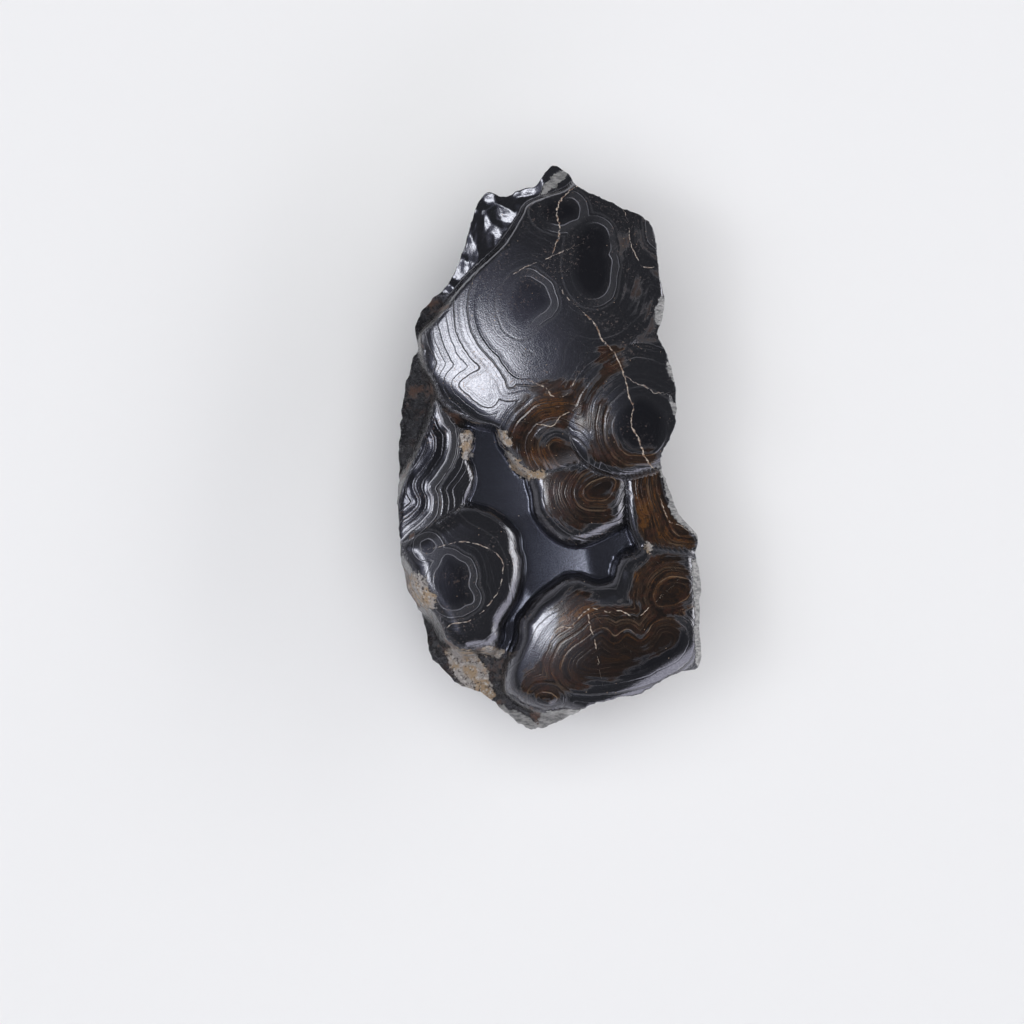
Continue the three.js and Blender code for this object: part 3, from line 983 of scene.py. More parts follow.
    @staticmethod
    def layers(at: Places, highest: Values) -> tuple[Values, Values]:
        """Finds which growth layer shows at each place on the islands.

        Args:
            at: plan positions.
            highest: the highest island at each.

        Returns:
            The layer at each, in millimetres from its nucleus's outline, higher inside, and how
            plain that outline is.
        """
        found = np.zeros(len(at))
        plain = np.zeros(len(at))
        for dome in Dome:
            chosen = highest == dome
            nuclei = NUCLEI.get(dome, NUCLEI[Dome.PLATEAU])
            if chosen.any():
                aged = np.stack([nucleus.layers(at[chosen]) for nucleus in nuclei])
                seen = np.stack([nucleus.plain(at[chosen]) for nucleus in nuclei])
                top = aged.max(0)
                near = np.exp((aged - top) / LAYER_BLEND)
                found[chosen] = top + LAYER_BLEND * np.log(near.sum(0))
                plain[chosen] = (seen * near).sum(0) / near.sum(0)
        return found + wave_height(LAYER_WAVER, at), plain

    def lay(self, ball: Places) -> Places:
        """Lays the ball over the stone.

        Args:
            ball: the ball's points, on its unit sphere.

        Returns:
            The stone's points.
        """
        rim = math.sin(math.radians(self.rim_latitude))
        # points within half a cell of the rim move onto it, which keeps the rim crisp
        snap = 0.5 * math.pi / 2 / self.cells
        z = np.where(np.abs(ball[:, 2] - rim) < snap, rim, ball[:, 2])
        across = np.maximum(np.hypot(ball[:, 0], ball[:, 1]), 1e-9)
        ellipse = ball[:, :2] / across[:, None] * (self.half_width, self.half_length)
        leave = self.outline.exit(ellipse)
        edge = ellipse * leave[:, None]
        leave = leave - wave_height(EDGE_CHIPS, edge) / np.linalg.norm(ellipse, axis=1)
        leave_base = self.base.exit(ellipse)
        on_top = z >= rim
        # below the rim the skin runs down the wall, then in under the base to its middle
        below = np.clip((rim - z) / (rim + 1), 0, 1)
        down = np.minimum(below / self.wall_share, 1)
        inward = np.clip((below - self.wall_share) / (1 - self.wall_share), 0, 1)
        top_share = leave * np.sqrt(np.clip((1 - z) / (1 - rim), 0, 1))
        bulge = down**self.wall_bulge
        wall_share = (leave * (1 - bulge) + leave_base * bulge) * (1 - inward)
        plan = ellipse * np.where(on_top, top_share, wall_share)[:, None]
        # a wall hangs from the height of the rim above it
        edge = ellipse * leave[:, None]
        height = self.top(np.where(on_top[:, None], plan, edge))
        self.markings["down"] = down
        placed = np.column_stack([plan, np.where(on_top, height, height * (1 - down))])
        return self.fracture(placed, down, inward)

    def fracture(self, placed: Places, down: Values, inward: Values) -> Places:
        """Breaks shallow conchoidal scoops into the walls.

        Args:
            placed: the stone's points.
            down: how far down the wall each is, from 0 to 1.
            inward: how far in under the base each is.

        Returns:
            The points, with those of the walls moved in.
        """
        walls = (down > 0) & (inward < 1)
        at = placed[walls]
        chance = np.random.default_rng(self.seed)
        centres = at[chance.integers(0, len(at), self.scoops)]
        centres = centres + chance.normal(0, self.scoop_scatter, (self.scoops, 3))
        depths = chance.uniform(*self.scoop_depths, self.scoops)
        radii = chance.uniform(*self.scoop_radii, self.scoops)
        bite = np.zeros(len(at))
        for centre, depth, radius in zip(centres, depths, radii):
            off = np.linalg.norm(at - centre, axis=1)
            bite = np.maximum(bite, depth - off**2 / (2 * radius))
        # the breaks go in level, more across the stone than along it
        way = at * (1, 0.55, 0)
        way /= np.maximum(np.linalg.norm(way, axis=1), 1e-6)[:, None]
        # and fade out at the rim and at the edge of the base
        strength = smoothstep(0, 0.3, down[walls]) * (1 - smoothstep(0.85, 1, down[walls]))
        # splinters run down the walls, so their waves are longer that way
        rough = 0.25 * ripple(at * (1, 1, 0.5), 2.6, 11) + 0.12 * ripple(at * (1, 1, 0.3), 0.9, 12)
        depth = bite + 0.2 + rough + wave_height(WALL_CREASES, at)
        broken = at - way * (depth * strength)[:, None]
        for cleft in CLEFTS:
            broken = cleft.cut(broken)
        broken[:, 2] = np.maximum(broken[:, 2], 0)
        placed[walls] = broken
        return placed

    def mark(self, at: Places, own_side: Values, highest: Values) -> None:
        """Works out the markings drawn over the stone, one value a point.

        Args:
            at: plan positions.
            own_side: how far each lies inside its island's outline.
            highest: the island at each.
        """
        rust = np.max([zone.over(at) for zone in RUST_ZONES], axis=0)
        self.markings |= {
            "rust": rust * smoothstep(0, 1, (own_side - 0.4) / own("silver", highest)),
            "ember": smoothstep(-0.8, 0.6, deepest(EMBERS, at)),
            "crust": deepest(CRUSTS, at),
            "chip": deepest(CHIPS, at),
            "crack": signed_nearest(CRACKS, at),
            "branch": CRACK_BRANCH.side(at),
            "vein": signed_nearest(CREAM_LINES, at),
        }

    def build(self) -> bpy.types.Object:
        """Builds the skin and writes its markings.

        Returns:
            The stone's object.
        """
        mesh = self.ball()
        count = len(mesh.vertices)
        flat = np.empty(count * 3)
        mesh.vertices.foreach_get("co", flat)
        ball = np.tan(flat.reshape(-1, 3) * math.pi / 4)
        ball /= np.linalg.norm(ball, axis=1)[:, None]
        placed = self.lay(ball)
        low, high = (np.array(corner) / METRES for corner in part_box(NODE))
        placed = self.fit(placed, low, high)
        mesh.vertices.foreach_set("co", (placed * METRES).ravel())
        for name, values in self.markings.items():
            mesh.attributes.new(name, "FLOAT", "POINT").data.foreach_set(
                "value", values.astype(np.float32)
            )
        mesh.shade_smooth()
        mesh.update()
        self.skin = bpy.data.objects.new(NODE + "_skin", mesh)
        bpy.context.scene.collection.objects.link(self.skin)
        LOG.info("stone skin: %d points, box %s to %s", count, placed.min(0), placed.max(0))
        return self.skin

    @staticmethod
    def fit(placed: Places, low: np.ndarray, high: np.ndarray) -> Places:
        """Fits the points into the box of the stone's solid.

        Args:
            placed: the stone's points.
            low: the solid's lowest corner.
            high: the solid's highest corner.

        Returns:
            The points, scaled by a hair so that they fill the box and no more.
        """
        own_low, own_high = placed.min(0), placed.max(0)
        scale = np.minimum((high - low) / (own_high - own_low), 1)
        middle = (own_low + own_high) / 2 * (1, 1, 0)
        target = (low + high) / 2 * (1, 1, 0)
        return (placed - middle) * scale + target

    def dress(self, finish: "HematiteFinish") -> None:
        """Gives the stone its finish, and puts it in its node's place.

        Args:
            finish: the finish to use.
        """
        self.skin.data.materials.append(finish.material())
        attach(self.skin, "root")
        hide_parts(NODE)


# ---------------------------------------------------------------- the finish

Colour = Triple
Socket = bpy.types.NodeSocket


@dataclass(frozen=True)
class Number:
    """A number that the nodes work out, on which plain arithmetic can be done."""

    nodes: "Nodes"
    socket: Socket

    def __add__(self, other: "Number | float") -> "Number":
        """Returns the sum."""
        return self.nodes.math("ADD", self, other)

    def __sub__(self, other: "Number | float") -> "Number":
        """Returns the difference."""
        return self.nodes.math("SUBTRACT", self, other)

    def __rsub__(self, other: float) -> "Number":
        """Returns a plain number less this one."""
        return self.nodes.math("SUBTRACT", other, self)

    def __mul__(self, other: "Number | float") -> "Number":
        """Returns the product."""
        return self.nodes.math("MULTIPLY", self, other)

    def __truediv__(self, other: "Number | float") -> "Number":
        """Returns the quotient."""
        return self.nodes.math("DIVIDE", self, other)

    def __pow__(self, other: float) -> "Number":
        """Returns the power."""
        return self.nodes.math("POWER", self, other)

    def __abs__(self) -> "Number":
        """Returns the number without its sign."""
        return self.nodes.math("ABSOLUTE", self)


class Nodes:
    """A short way to write a node tree: every method adds a node and returns what it gives."""

    # where a Mix node has its share, numbers and colours
    MIX_SHARE = 0
    MIX_NUMBERS = (2, 3)
    MIX_COLOURS = (6, 7)
    MIXED_COLOUR = 2

    def __init__(self, tree: bpy.types.NodeTree) -> None:
        """Starts with an empty tree.

        Args:
            tree: the tree to fill.
        """
        self.tree = tree
        tree.nodes.clear()

    def add(
        self, kind: str, inputs: dict[str | int, object] | None = None, **settings: object
    ) -> bpy.types.Node:
        """Adds a node.

        Args:
            kind: the node's type name.
            inputs: values, outputs or numbers for its inputs.
            settings: the node's own settings.

        Returns:
            The node.
        """
        node = self.tree.nodes.new(kind)
        for name, value in settings.items():
            setattr(node, name, value)
        for name, value in (inputs or {}).items():
            value = value.socket if isinstance(value, Number) else value
            if isinstance(value, Socket):
                self.tree.links.new(value, node.inputs[name])
            elif node.inputs[name].type == "RGBA":
                node.inputs[name].default_value = (*value, 1)
            else:
                node.inputs[name].default_value = value
        return node

    def math(self, operation: str, *values: Number | Socket | float, clamp: bool = False) -> Number:
        """Returns the result of a Math node on one or two values."""
        inputs = dict(enumerate(values))
        node = self.add("ShaderNodeMath", inputs, operation=operation, use_clamp=clamp)
        return Number(self, node.outputs[0])

    def larger(self, a: Number, b: Number) -> Number:
        """Returns the larger of two numbers."""
        return self.math("MAXIMUM", a, b)

    def dot(self, a: Socket, b: Vector) -> Number:
        """Returns the dot product of two vectors."""
        node = self.add("ShaderNodeVectorMath", {0: a, 1: b}, operation="DOT_PRODUCT")
        return Number(self, node.outputs["Value"])

    def mapped(self, at: Socket, scale: tuple[float, ...], turn: float = 0.0) -> Socket:
        """Returns positions stretched along each axis, and turned about Z in radians."""
        inputs = {"Vector": at, "Scale": scale, "Rotation": (0, 0, turn)}
        return self.add("ShaderNodeMapping", inputs).outputs[0]

    def attribute(self, name: str) -> Number:
        """Returns a marking that was written on the skin."""
        return Number(self, self.add("ShaderNodeAttribute", attribute_name=name).outputs["Fac"])

    def ramp(
        self,
        value: Number | Socket,
        low: float,
        high: float,
        start: float = 0.0,
        end: float = 1.0,
    ) -> Number:
        """Eases a number.

        Args:
            value: the number.
            low: where it gives start.
            high: where it gives end.
            start: the first result.
            end: the last result.

        Returns:
            The eased number.
        """
        inputs = {"Value": value, "From Min": low, "From Max": high, "To Min": start, "To Max": end}
        node = self.add("ShaderNodeMapRange", inputs, interpolation_type="SMOOTHSTEP")
        return Number(self, node.outputs["Result"])

    def mix(self, share: Number, a: Socket | Colour, b: Socket | Colour) -> Socket:
        """Returns a colour between a and b."""
        inputs = {self.MIX_SHARE: share, **dict(zip(self.MIX_COLOURS, (a, b)))}
        return self.add("ShaderNodeMix", inputs, data_type="RGBA").outputs[self.MIXED_COLOUR]

    def blend(self, share: Number, a: Number | float, b: Number | float) -> Number:
        """Returns a number between a and b."""
        inputs = {self.MIX_SHARE: share, **dict(zip(self.MIX_NUMBERS, (a, b)))}
        return Number(self, self.add("ShaderNodeMix", inputs, data_type="FLOAT").outputs[0])

    def noise(
        self, at: Socket | Number, scale: float, detail: float = 2.0, roughness: float = 0.5
    ) -> Number:
        """Makes soft noise from 0 to 1.

        Args:
            at: the position, or a number for noise along a line.
            scale: repeats in a unit.
            detail: how many finer layers it has.
            roughness: how strong the finer layers are.

        Returns:
            The noise.
        """
        place, dimensions = ("W", "1D") if isinstance(at, Number) else ("Vector", "3D")
        inputs = {place: at, "Scale": scale, "Detail": detail, "Roughness": roughness}
        node = self.add("ShaderNodeTexNoise", inputs, noise_dimensions=dimensions)
        return Number(self, node.outputs["Fac"])

    def patches(
        self,
        at: Socket | Number,
        scale: float,
        low: float,
        high: float,
        detail: float = 2.0,
        roughness: float = 0.5,
        most: float = 1.0,
    ) -> Number:
        """Makes soft random patches.

        Args:
            at: the position, or a number for noise along a line.
            scale: repeats in a unit.
            low: the noise at which a patch ends.
            high: the noise at which it is full.
            detail: how many finer layers the noise has.
            roughness: how strong the finer layers are.
            most: the value inside a patch.

        Returns:
            The patches, from 0 to most.
        """
        return self.ramp(self.noise(at, scale, detail, roughness), low, high, 0.0, most)


@dataclass(frozen=True)
class LayerSet:
    """Thin growth layers, one in each period of age, some of them stronger than others."""

    period: float
    seed: float
    narrow: float  # the faintest layer's half width, in millimetres
    wide: float  # the strongest layer's
    uneven: float  # how far they stray from an even row, in periods

    def draw(self, n: Nodes, age: Number) -> tuple[Number, Number, Number]:
        """Draws the layers.

        Args:
            n: the finish's node tree.
            age: how far each place is from the nuclei, in millimetres.

        Returns:
            How clearly a layer shows, its own random number, and the distance from its middle.
        """
        turns = age / self.period + n.noise(age + self.seed, 0.8, 1) * self.uneven
        cell = n.math("FLOOR", turns) + self.seed
        white = n.add("ShaderNodeTexWhiteNoise", {"W": cell}, noise_dimensions="1D")
        chance = Number(n, white.outputs["Value"])
        off = abs(n.math("FRACT", turns) - 0.5)
        width = chance * ((self.wide - self.narrow) / self.period) + self.narrow / self.period
        edge = n.math("SUBTRACT", 1.0, off / width, clamp=True)
        return n.math("MULTIPLY", edge, 1.5, clamp=True), chance, off * self.period


COARSE_LAYERS = LayerSet(period=1.25, seed=3.7, narrow=0.034, wide=0.095, uneven=1.3)
FINE_LAYERS = LayerSet(period=0.45, seed=11.3, narrow=0.03, wide=0.06, uneven=2.2)


@dataclass(frozen=True)
class HematiteFinish:
    """Polished hematite: dark metal rings, thin pale layers (those of the left wing painted near-white as
    highlights), rust-brown layers, crust and breaks.
    """

    metal: Colour = (0.215, 0.215, 0.23)
    core_metal: Colour = (0.12, 0.12, 0.135)
    channel_metal: Colour = (0.21, 0.22, 0.265)
    dull_metal: Colour = (0.1, 0.1, 0.12)
    grey: Colour = (0.05, 0.048, 0.053)
    faint_line: Colour = (0.13, 0.13, 0.15)
    # a painted highlight: the left wing's growth lines take this near-white, which stands in for glints
    # along its steps
    painted_glint_line: Colour = (0.5, 0.5, 0.54)
    cream: Colour = (0.36, 0.25, 0.16)
    umber: Colour = (0.012, 0.0085, 0.007)
    rust: Colour = (0.031, 0.0195, 0.0142)
    ruddy: Colour = (0.05, 0.021, 0.014)
    orange: Colour = (0.10, 0.043, 0.013)
    vein_brown: Colour = (0.2, 0.11, 0.06)
    vein_cream: Colour = (0.62, 0.53, 0.44)
    broken_dark: Colour = (0.07, 0.07, 0.075)
    broken: Colour = (0.16, 0.158, 0.165)
    fibre: Colour = (0.22, 0.22, 0.23)
    bedding: Colour = (0.085, 0.05, 0.04)
    stain: Colour = (0.11, 0.052, 0.03)
    ochre: Colour = (0.3, 0.17, 0.08)
    chip_dark: Colour = (0.22, 0.222, 0.22)
    chip_pale: Colour = (0.5, 0.49, 0.485)
    crust: Colour = (0.56, 0.41, 0.27)
    crust_grey: Colour = (0.56, 0.52, 0.5)
    crust_flake: Colour = (0.78, 0.74, 0.71)
    crust_pit: Colour = (0.07, 0.05, 0.042)
    refraction: float = 1.9
    echo: float = 1.15  # each nucleus's outline shows again this far outside it
    halo: float = 0.55  # and this far outside it runs the middle of a soft pale band
    # how deep or high the finest relief is, in millimetres
    groove_depth: float = 0.031
    line_depth: float = 0.02
    crack_depth: float = 0.08
    ripple_height: float = 0.035
    grain_height: float = 0.015
    hack_height: float = 0.5
    fibre_height: float = 0.25
    splinter_height: float = 0.5
    crust_height: float = 1.2
    # a whole wall's height to the beds, and how fast the chips and the crust end down it
    beds_down: float = 27.0
    chips_down: float = 34.0
    crust_down: float = 14.0

    def material(self) -> bpy.types.Material:
        """Returns the material, made of each substance laid over those before it."""
        material = bpy.data.materials.new(SLOT)
        material.use_nodes = True
        surface = Surface(self, Nodes(material.node_tree))
        surface.draw_rings()
        surface.lay_polish()
        surface.lay_lines()
        surface.lay_veins()
        surface.lay_dust()
        surface.lay_breaks()
        surface.lay_chips()
        surface.lay_crust()
        surface.close()
        return material


class Surface:
    """The stone's surface in nodes, as one substance after another is laid over it."""

    colour: Socket
    metallic: Number
    roughness: Number
    height: Number  # the finest relief, in millimetres
    lines: Number  # how clearly the thin layers show
    outlined: Number  # the nuclei's outlines and their halos
    rusty: Number  # where the layers are rust-brown

    def __init__(self, look: HematiteFinish, n: Nodes) -> None:
        """Reads the skin's places and markings.

        Args:
            look: the colours.
            n: the material's node tree.
        """
        self.look = look
        self.n = n
        self.at = n.mapped(n.add("ShaderNodeTexCoord").outputs["Object"], (1 / METRES,) * 3)
        self.layer = n.attribute("layer")
        self.down = n.attribute("down")
        self.rust_zone = n.attribute("rust")
        self.ember = n.attribute("ember")
        self.stands = n.attribute("relief")
        self.plain = n.attribute("plain")
        self.ringed = n.attribute("ringed")
        proud = n.attribute("proud")
        self.on_top = n.ramp(self.down, 0.02, 0.0)
        self.on_island = n.ramp(proud, 0.9, 1.6) * n.ramp(n.attribute("seam"), 0.05, 0.25)
        self.sunken = n.ramp(proud, 0.6, 0.2) * self.on_top * (1.0 - n.attribute("shelf"))
        self.age = self.layer + (n.noise(self.at, 2.2) * 0.16 - 0.08)
        along = n.add("ShaderNodeCombineXYZ", {"X": self.age * 0.9}).outputs[0]
        slow = n.mapped(self.at, (0.1, 0.1, 0.1))
        added = n.add("ShaderNodeVectorMath", {0: slow, 1: along}, operation="ADD")
        self.streak = added.outputs[0]  # noise here runs in streaks along the layers

    def lay(
        self,
        share: Number,
        colour: Socket | Colour,
        metallic: Number | float,
        roughness: Number | float | None = None,
    ) -> None:
        """Lays a substance over the surface.

        Args:
            share: how much of it there is at each place.
            colour: its colour.
            metallic: how metallic it is.
            roughness: how rough it is, or None for as rough as what it lies on.
        """
        self.colour = self.n.mix(share, self.colour, colour)
        self.metallic = self.n.blend(share, self.metallic, metallic)
        if roughness is not None:
            self.roughness = self.n.blend(share, self.roughness, roughness)

    def wavering(
        self, name: str, sway: float, scale: float, detail: float, roughness: float = 0.5
    ) -> Number:
        """Reads a marking that is the distance from a line, and lets the line waver.

        Args:
            name: the marking.
            sway: how far the line strays from side to side, in millimetres.
            scale: repeats of its bends in a millimetre.
            detail: how many finer bends it has.
            roughness: how strong the finer bends are.

        Returns:
            The signed distance from the wavering line.
        """
        bends = self.n.noise(self.at, scale, detail, roughness)
        return self.n.attribute(name) + (bends * sway - sway / 2)

    def draw_rings(self) -> None:
        """Works out the thin layers, the nuclei's outlines, and the finest relief of both."""
        n, look = self.n, self.look
        coarse, chance, off = COARSE_LAYERS.draw(n, self.age)
        fine, fine_chance, _ = FINE_LAYERS.draw(n, self.age)
        share = n.blend(n.ramp(self.stands, 0.3, 0.9), chance**1.5, chance * 0.75 + 0.2)
        coarse = coarse * share * n.ramp(self.rust_zone, 0.2, 0.7, 1.0, 0.6)
        fine = fine * fine_chance * n.patches(self.streak, 1.1, 0.42, 0.62)
        fine = fine * n.ramp(self.rust_zone, 0.1, 0.6, 0.2, 0.75)
        outline = n.ramp(abs(self.layer), 0.13, 0.03)
        echo = n.ramp(abs(self.layer + look.echo), 0.11, 0.02)
        echo = echo * n.ramp(self.rust_zone, 0.6, 0.2, 0.2, 0.7)
        outline = n.larger(outline, echo) * self.plain * n.patches(self.at, 0.22, 0.25, 0.45)
        halo = n.ramp(abs(self.layer + look.halo), 0.75, 0.35) * self.plain
        halo = halo * n.ramp(self.rust_zone, 0.2, 0.6, 1.0, 0.0)
        self.outlined = n.larger(outline, halo)
        lines = n.larger(n.larger(coarse * 0.8, fine) * self.ringed, outline)
        self.lines = n.larger(lines, halo * 0.13) * self.on_island
        groove = n.ramp(off, 0.23, 0.0, 0.0, -look.groove_depth) * share * self.on_island
        groove = groove * n.ramp(self.stands, 0.0, 1.0, 0.25, 1.5) * self.ringed
        waves = n.noise(self.age, 1.7) * look.ripple_height * self.stands * self.on_island
        self.height = groove + waves + n.noise(self.at, 5.0, 3) * look.grain_height

    def lay_polish(self) -> None:
        """Starts with the polished metal and its rust-brown layers."""
        n, look, at = self.n, self.look, self.at
        amount = n.noise(self.streak, 0.9, 4, 0.65) + n.noise(at, 0.16, 4, 0.6)
        amount = amount * 0.85 - 0.35 + self.rust_zone * 0.36
        rusty = n.ramp(amount, 0.6, 0.74) * n.ramp(self.rust_zone, 0.0, 0.3) * self.on_island
        bright = (self.rust_zone - 1.0) * 0.3 + n.noise(self.streak, 4.6, 4, 0.7) + self.ember * 0.17
        brown = n.mix(n.ramp(bright, 0.53, 0.7), look.rust, look.orange)
        stays = self.ember * 0.2 + n.noise(self.streak, 1.6, 3)
        brown = n.mix(n.ramp(stays, 0.4, 0.56), look.umber, brown)
        brown = n.mix(n.patches(at, 0.5, 0.48, 0.62, 4, 0.7, most=0.6), brown, look.ruddy)
        brown = n.mix(n.patches(at, 1.1, 0.5, 0.62, 5, 0.75, most=0.7), brown, look.umber)
        core = n.ramp(self.layer, -0.1, 1.6)
        brown = n.mix(core * 0.75, brown, look.umber)
        shade = n.mix(core, look.metal, look.core_metal)
        shade = n.mix(self.sunken, shade, look.channel_metal)
        shade = n.mix(n.patches(at, 3.2, 0.62, 0.4, 3, most=0.35), shade, look.dull_metal)
        polish = n.ramp(n.noise(at, 0.5, 3), 0.3, 0.7, 0.07, 0.13)
        self.rusty = rusty
        self.colour = n.mix(rusty, shade, brown)
        self.metallic = n.blend(rusty, 0.95, 0.15)
        self.roughness = n.blend(rusty, n.blend(self.sunken, polish, 0.24), 0.09)

    def lay_lines(self) -> None:
        """Lays the thin layers: grey in the metal and near-white as painted highlights on the left wing,
        orange and cream in the rust.
        """
        n, look = self.n, self.look
        # where the relief is strongest, on the left wing, the lines are painted near-white as highlights
        pale = n.mix(n.ramp(self.stands, 1.2, 1.5), look.faint_line, look.painted_glint_line)
        grey = n.mix(self.outlined, look.grey, pale)
        creamy = self.rusty * n.patches(self.at, 0.35, 0.4, 0.65)
        colour = n.mix(self.rusty, grey, n.mix(creamy, look.orange, look.cream))
        lines = self.lines * n.blend(self.rusty, 1.0, 0.42)
        self.colour = n.mix(lines, self.colour, colour)
        self.metallic = n.blend(lines * 0.8, self.metallic, 0.1)
        self.roughness = n.blend(lines, self.roughness, 0.4)
        self.height = self.height - lines * look.line_depth

    def lay_veins(self) -> None:
        """Lays the cream veins and the filled cracks."""
        n, look = self.n, self.look
        vein = n.ramp(abs(self.wavering("vein", 0.5, 1.3, 3)), 0.11, 0.03)
        vein = vein * n.patches(self.at, 0.9, 0.4, 0.56) * self.on_island
        crack = n.ramp(abs(self.wavering("crack", 1.1, 1.3, 5, 0.65)), 0.115, 0.05)
        branch = n.ramp(abs(self.wavering("branch", 0.7, 1.2, 4)), 0.1, 0.03)
        crack = n.larger(crack, branch * 0.6) * n.patches(self.at, 1.4, 0.3, 0.45) * self.on_top
        filling = n.mix(n.patches(self.at, 1.8, 0.4, 0.6, 3), look.vein_brown, look.vein_cream)
        self.lay(n.larger(vein * 0.8, crack), filling, metallic=0.0, roughness=0.7)
        self.height = self.height - crack * look.crack_depth

    def lay_dust(self) -> None:
        """Lays rusty dust and pale specks in the polish."""
        n, look, at = self.n, self.look, self.at
        dust = n.patches(at, 2.4, 0.56, 0.66, 5, 0.7) * n.patches(at, 0.15, 0.48, 0.6, 3)
        self.lay(dust * 0.6 * self.on_island, look.orange, metallic=0.0)
        cells = n.add("ShaderNodeTexVoronoi", {"Vector": at, "Scale": 0.8})
        chance = n.add("ShaderNodeSeparateColor", {0: cells.outputs["Color"]}).outputs[0]
        specks = n.ramp(cells.outputs["Distance"], 0.075, 0.045)
        specks = specks * n.math("GREATER_THAN", chance, 0.62) * 0.8 * self.on_top
        self.lay(specks, look.cream, metallic=0.0)

    def lay_breaks(self) -> None:
        """Lays the broken sides: bedded, fibrous and stained."""
        n, look, at = self.n, self.look, self.at
        breaks = n.larger(n.ramp(self.down, 0.0, 0.02), n.attribute("broken"))
        grain = n.noise(at, 0.9, 5, 0.65)
        fibres = n.noise(n.mapped(at, (1, 1, 0.12)), 2.4, 4, 0.6)
        depth = self.down * look.beds_down + n.noise(at, 0.22, 3) * 3.5
        stains = n.noise(n.mapped(at, (1, 1, 0.55)), 0.14, 6, 0.7)
        ochre = n.ramp(stains + n.noise(at, 1.1, 3) * 0.2, 0.7, 0.78)
        stain = n.ramp(stains, 0.52, 0.62)
        colour = n.mix(n.ramp(grain, 0.3, 0.75), look.broken_dark, look.broken)
        colour = n.mix(n.ramp(fibres, 0.48, 0.75), colour, look.fibre)
        colour = n.mix(n.patches(depth, 0.75, 0.56, 0.64, 4, 0.7, most=0.6), colour, look.bedding)
        colour = n.mix(stain * 0.85, colour, look.stain)
        colour = n.mix(ochre * n.ramp(self.down, 0.1, 0.3, 0.0, 0.8), colour, look.ochre)
        roughness = n.ramp(grain, 0.3, 0.7, 0.14, 0.34) + stain * 0.35
        self.lay(breaks, colour, metallic=0.9 - stain * 0.8, roughness=roughness)
        hack = n.noise(n.mapped(at, (1, 1, 0.25)), 1.6, 5, 0.6)
        hack = hack * look.hack_height + fibres * look.fibre_height
        self.height = self.height + hack * breaks

    def lay_chips(self) -> None:
        """Lays the pale, splintered chips along the edges."""
        n, look = self.n, self.look
        edge = self.wavering("chip", 1.6, 1.1, 4, 0.65) - 0.1 - self.down * look.chips_down
        chip = n.ramp(edge, -0.1, 0.1)
        splinters = n.noise(n.mapped(self.at, (0.5, 1.6, 1), turn=0.9), 1.8, 4, 0.65)
        colour = n.mix(n.ramp(splinters, 0.4, 0.58), look.chip_dark, look.chip_pale)
        self.lay(chip, colour, metallic=0.4, roughness=0.28)
        self.height = self.height + splinters * chip * look.splinter_height

    def lay_crust(self) -> None:
        """Lays the buff crust, with its grey parts, pale flakes and dark pits."""
        n, look, at = self.n, self.look, self.at
        edge = self.wavering("crust", 3.8, 0.8, 5, 0.75) - 0.05 - self.down * look.crust_down
        crust = n.ramp(edge, -0.1, 0.15)
        colour = n.mix(n.patches(at, 0.45, 0.4, 0.6, 3), look.crust, look.crust_grey)
        colour = n.mix(n.patches(at, 1.9, 0.54, 0.6, 4, 0.7), colour, look.crust_flake)
        colour = n.mix(n.patches(at, 1.6, 0.47, 0.4, 5, 0.8), colour, look.crust_pit)
        self.lay(crust, colour, metallic=0.0, roughness=0.85)
        self.height = self.height + n.noise(at, 2.0, 5, 0.7) * crust * look.crust_height

    def close(self) -> None:
        """Joins everything in the material's output, with the height as bumps."""
        bump = {"Height": self.height, "Distance": METRES, "Strength": 1.0}
        inputs = {
            "Base Color": self.colour,
            "Metallic": self.metallic,
            "Roughness": self.roughness,
            "Normal": self.n.add("ShaderNodeBump", bump).outputs[0],
            "IOR": self.look.refraction,
        }
        shader = self.n.add("ShaderNodeBsdfPrincipled", inputs)
        self.n.add("ShaderNodeOutputMaterial", {"Surface": shader.outputs[0]})


# ---------------------------------------------------------------- the studio


def direction(azimuth: float, elevation: float) -> Vector:
    """Returns the unit vector towards a place in the room.

    Args:
        azimuth: degrees from +X towards +Y.
        elevation: degrees above the floor.
    """
    a, e = math.radians(azimuth), math.radians(elevation)
    return Vector((math.cos(a) * math.cos(e), math.sin(a) * math.cos(e), math.sin(e)))


@dataclass(frozen=True)
class Window:
    """A soft rectangle of light in the room's surroundings."""

    azimuth: float  # degrees from +X towards +Y
    elevation: float  # degrees above the floor
    half: Pair  # half size, degrees
    feather: float  # degrees over which its edge fades
    radiance: float
    roll: float = 0.0  # degrees that it is turned in its own plane
    colour: Colour = (1, 1, 1)

    def share(self, n: Nodes, way: Socket) -> Number:
        """Writes how much of the window each direction sees.

        Args:
            n: the world's node tree.
            way: the direction.

        Returns:
            The share, from 0 to 1.
        """
        roll = math.radians(self.roll)
        middle = direction(self.azimuth, self.elevation)
        level = direction(self.azimuth + 90, 0)
        rise = middle.cross(level)
        sideways = level * math.cos(roll) + rise * math.sin(roll)
        upwards = rise * math.cos(roll) - level * math.sin(roll)
        facing = n.dot(way, middle)
        share = n.ramp(facing, 0.0, 0.1)
        for axis, half in ((sideways, self.half[0]), (upwards, self.half[1])):
            outer = math.tan(math.radians(half + self.feather / 2))
            inner = math.tan(math.radians(max(half - self.feather / 2, 0)))
            share = share * n.ramp(abs(n.dot(way, axis) / facing), outer, inner)
        return share

    def light(self) -> Colour:
        """Returns the colour of its light, as strong as it is."""
        return tuple(channel * self.radiance for channel in self.colour)


# a wide pale halo on the left, two long low strips, and the window itself inside the halo
WINDOWS = (
    Window(184, 56, half=(16, 21), roll=-24, feather=22, radiance=0.5, colour=(0.76, 0.79, 1)),
    Window(-6, 30, half=(46, 8.5), feather=4, radiance=3.0),
    Window(306, 31, half=(38, 12), feather=9, radiance=1.35, colour=(0.9, 0.89, 1)),
    Window(181, 60, half=(6.4, 11), roll=-24, feather=3.5, radiance=4.6, colour=(0.95, 0.97, 1)),
)


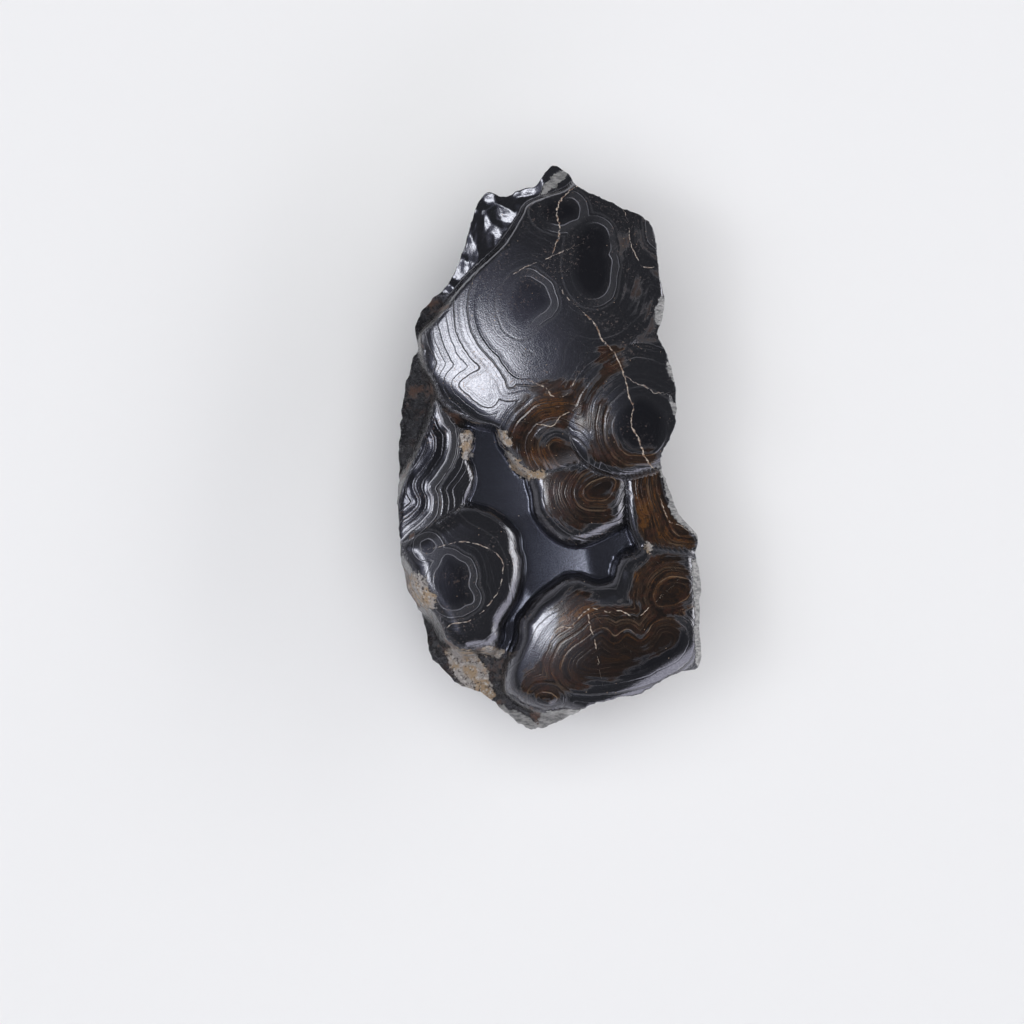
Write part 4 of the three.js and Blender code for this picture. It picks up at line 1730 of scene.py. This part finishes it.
@dataclass
class Studio:
    """A pale floor, a soft room and the camera that looks down on the stone."""

    look_at: Point = (-6.17, -10.67)
    front: float = 31.0  # height of the stone's face, where the frame's width is measured
    distance: float = 1000.0
    frame_width: float = 170.67
    sensor: float = 36.0
    floor_size: float = 3.0  # metres, half the floor's width
    floor_colour: Colour = (0.86, 0.86, 0.86)
    horizon: Colour = (0.38, 0.38, 0.41)
    overhead: Colour = (0.045, 0.047, 0.055)
    fill_size: float = 1.4  # metres
    fill_distance: float = 1.3  # metres
    fill_radiance: float = 2.4

    def camera(self) -> None:
        """Places the camera straight above the stone."""
        data = bpy.data.cameras.new("camera")
        data.sensor_width = self.sensor
        data.lens = self.sensor * self.distance / self.frame_width
        data.clip_start = 0.01
        data.clip_end = 20
        camera = bpy.data.objects.new("camera", data)
        camera.location = Vector((*self.look_at, self.front + self.distance)) * METRES
        bpy.context.scene.collection.objects.link(camera)
        bpy.context.scene.camera = camera

    def floor(self) -> None:
        """Lays the pale floor."""
        start = bmesh.new()
        bmesh.ops.create_grid(start, x_segments=2, y_segments=2, size=self.floor_size)
        mesh = bpy.data.meshes.new("floor")
        start.to_mesh(mesh)
        start.free()
        material = bpy.data.materials.new("floor")
        material.use_nodes = True
        shader = material.node_tree.nodes["Principled BSDF"]
        shader.inputs["Base Color"].default_value = (*self.floor_colour, 1)
        shader.inputs["Roughness"].default_value = 0.9
        shader.inputs["Specular IOR Level"].default_value = 0.1
        mesh.materials.append(material)
        floor = bpy.data.objects.new("floor", mesh)
        bpy.context.scene.collection.objects.link(floor)

    def fill(self) -> None:
        """Hangs a soft lamp overhead that the stone's gloss doesn't mirror."""
        data = bpy.data.lights.new("fill", "AREA")
        data.shape = "SQUARE"
        data.size = self.fill_size
        data.energy = self.fill_radiance * math.pi * self.fill_size**2
        lamp = bpy.data.objects.new("fill", data)
        back = direction(90, 89)
        lamp.location = back * self.fill_distance + Vector((0, 0, self.front * METRES))
        lamp.rotation_mode = "QUATERNION"
        lamp.rotation_quaternion = back.to_track_quat("Z", "Y")
        lamp.visible_glossy = False
        lamp.visible_camera = False
        bpy.context.scene.collection.objects.link(lamp)

    def surroundings(self) -> None:
        """Makes the room: pale near the floor, dark overhead, with soft windows."""
        world = bpy.data.worlds.new("room")
        bpy.context.scene.world = world
        world.use_nodes = True
        n = Nodes(world.node_tree)
        way = n.add("ShaderNodeTexCoord").outputs["Generated"]
        up = n.add("ShaderNodeSeparateXYZ", {"Vector": way}).outputs["Z"]
        colour = n.mix(n.ramp(up, 0.1, 0.45), self.horizon, self.overhead)
        for window in WINDOWS:
            colour = n.mix(window.share(n, way), colour, window.light())
        back = n.add("ShaderNodeBackground", {"Color": colour, "Strength": 1.0})
        n.add("ShaderNodeOutputWorld", {"Surface": back.outputs[0]})

    def build(self) -> None:
        """Sets up the whole studio."""
        self.camera()
        self.floor()
        self.surroundings()
        self.fill()
        bpy.context.scene.view_settings.view_transform = "Standard"


def main() -> None:
    """Builds the stone and its studio."""
    logging.basicConfig(level=logging.INFO, format="%(message)s")
    stone = Stone()
    stone.build()
    stone.dress(HematiteFinish())
    Studio().build()


if __name__ == "__main__":
    main()
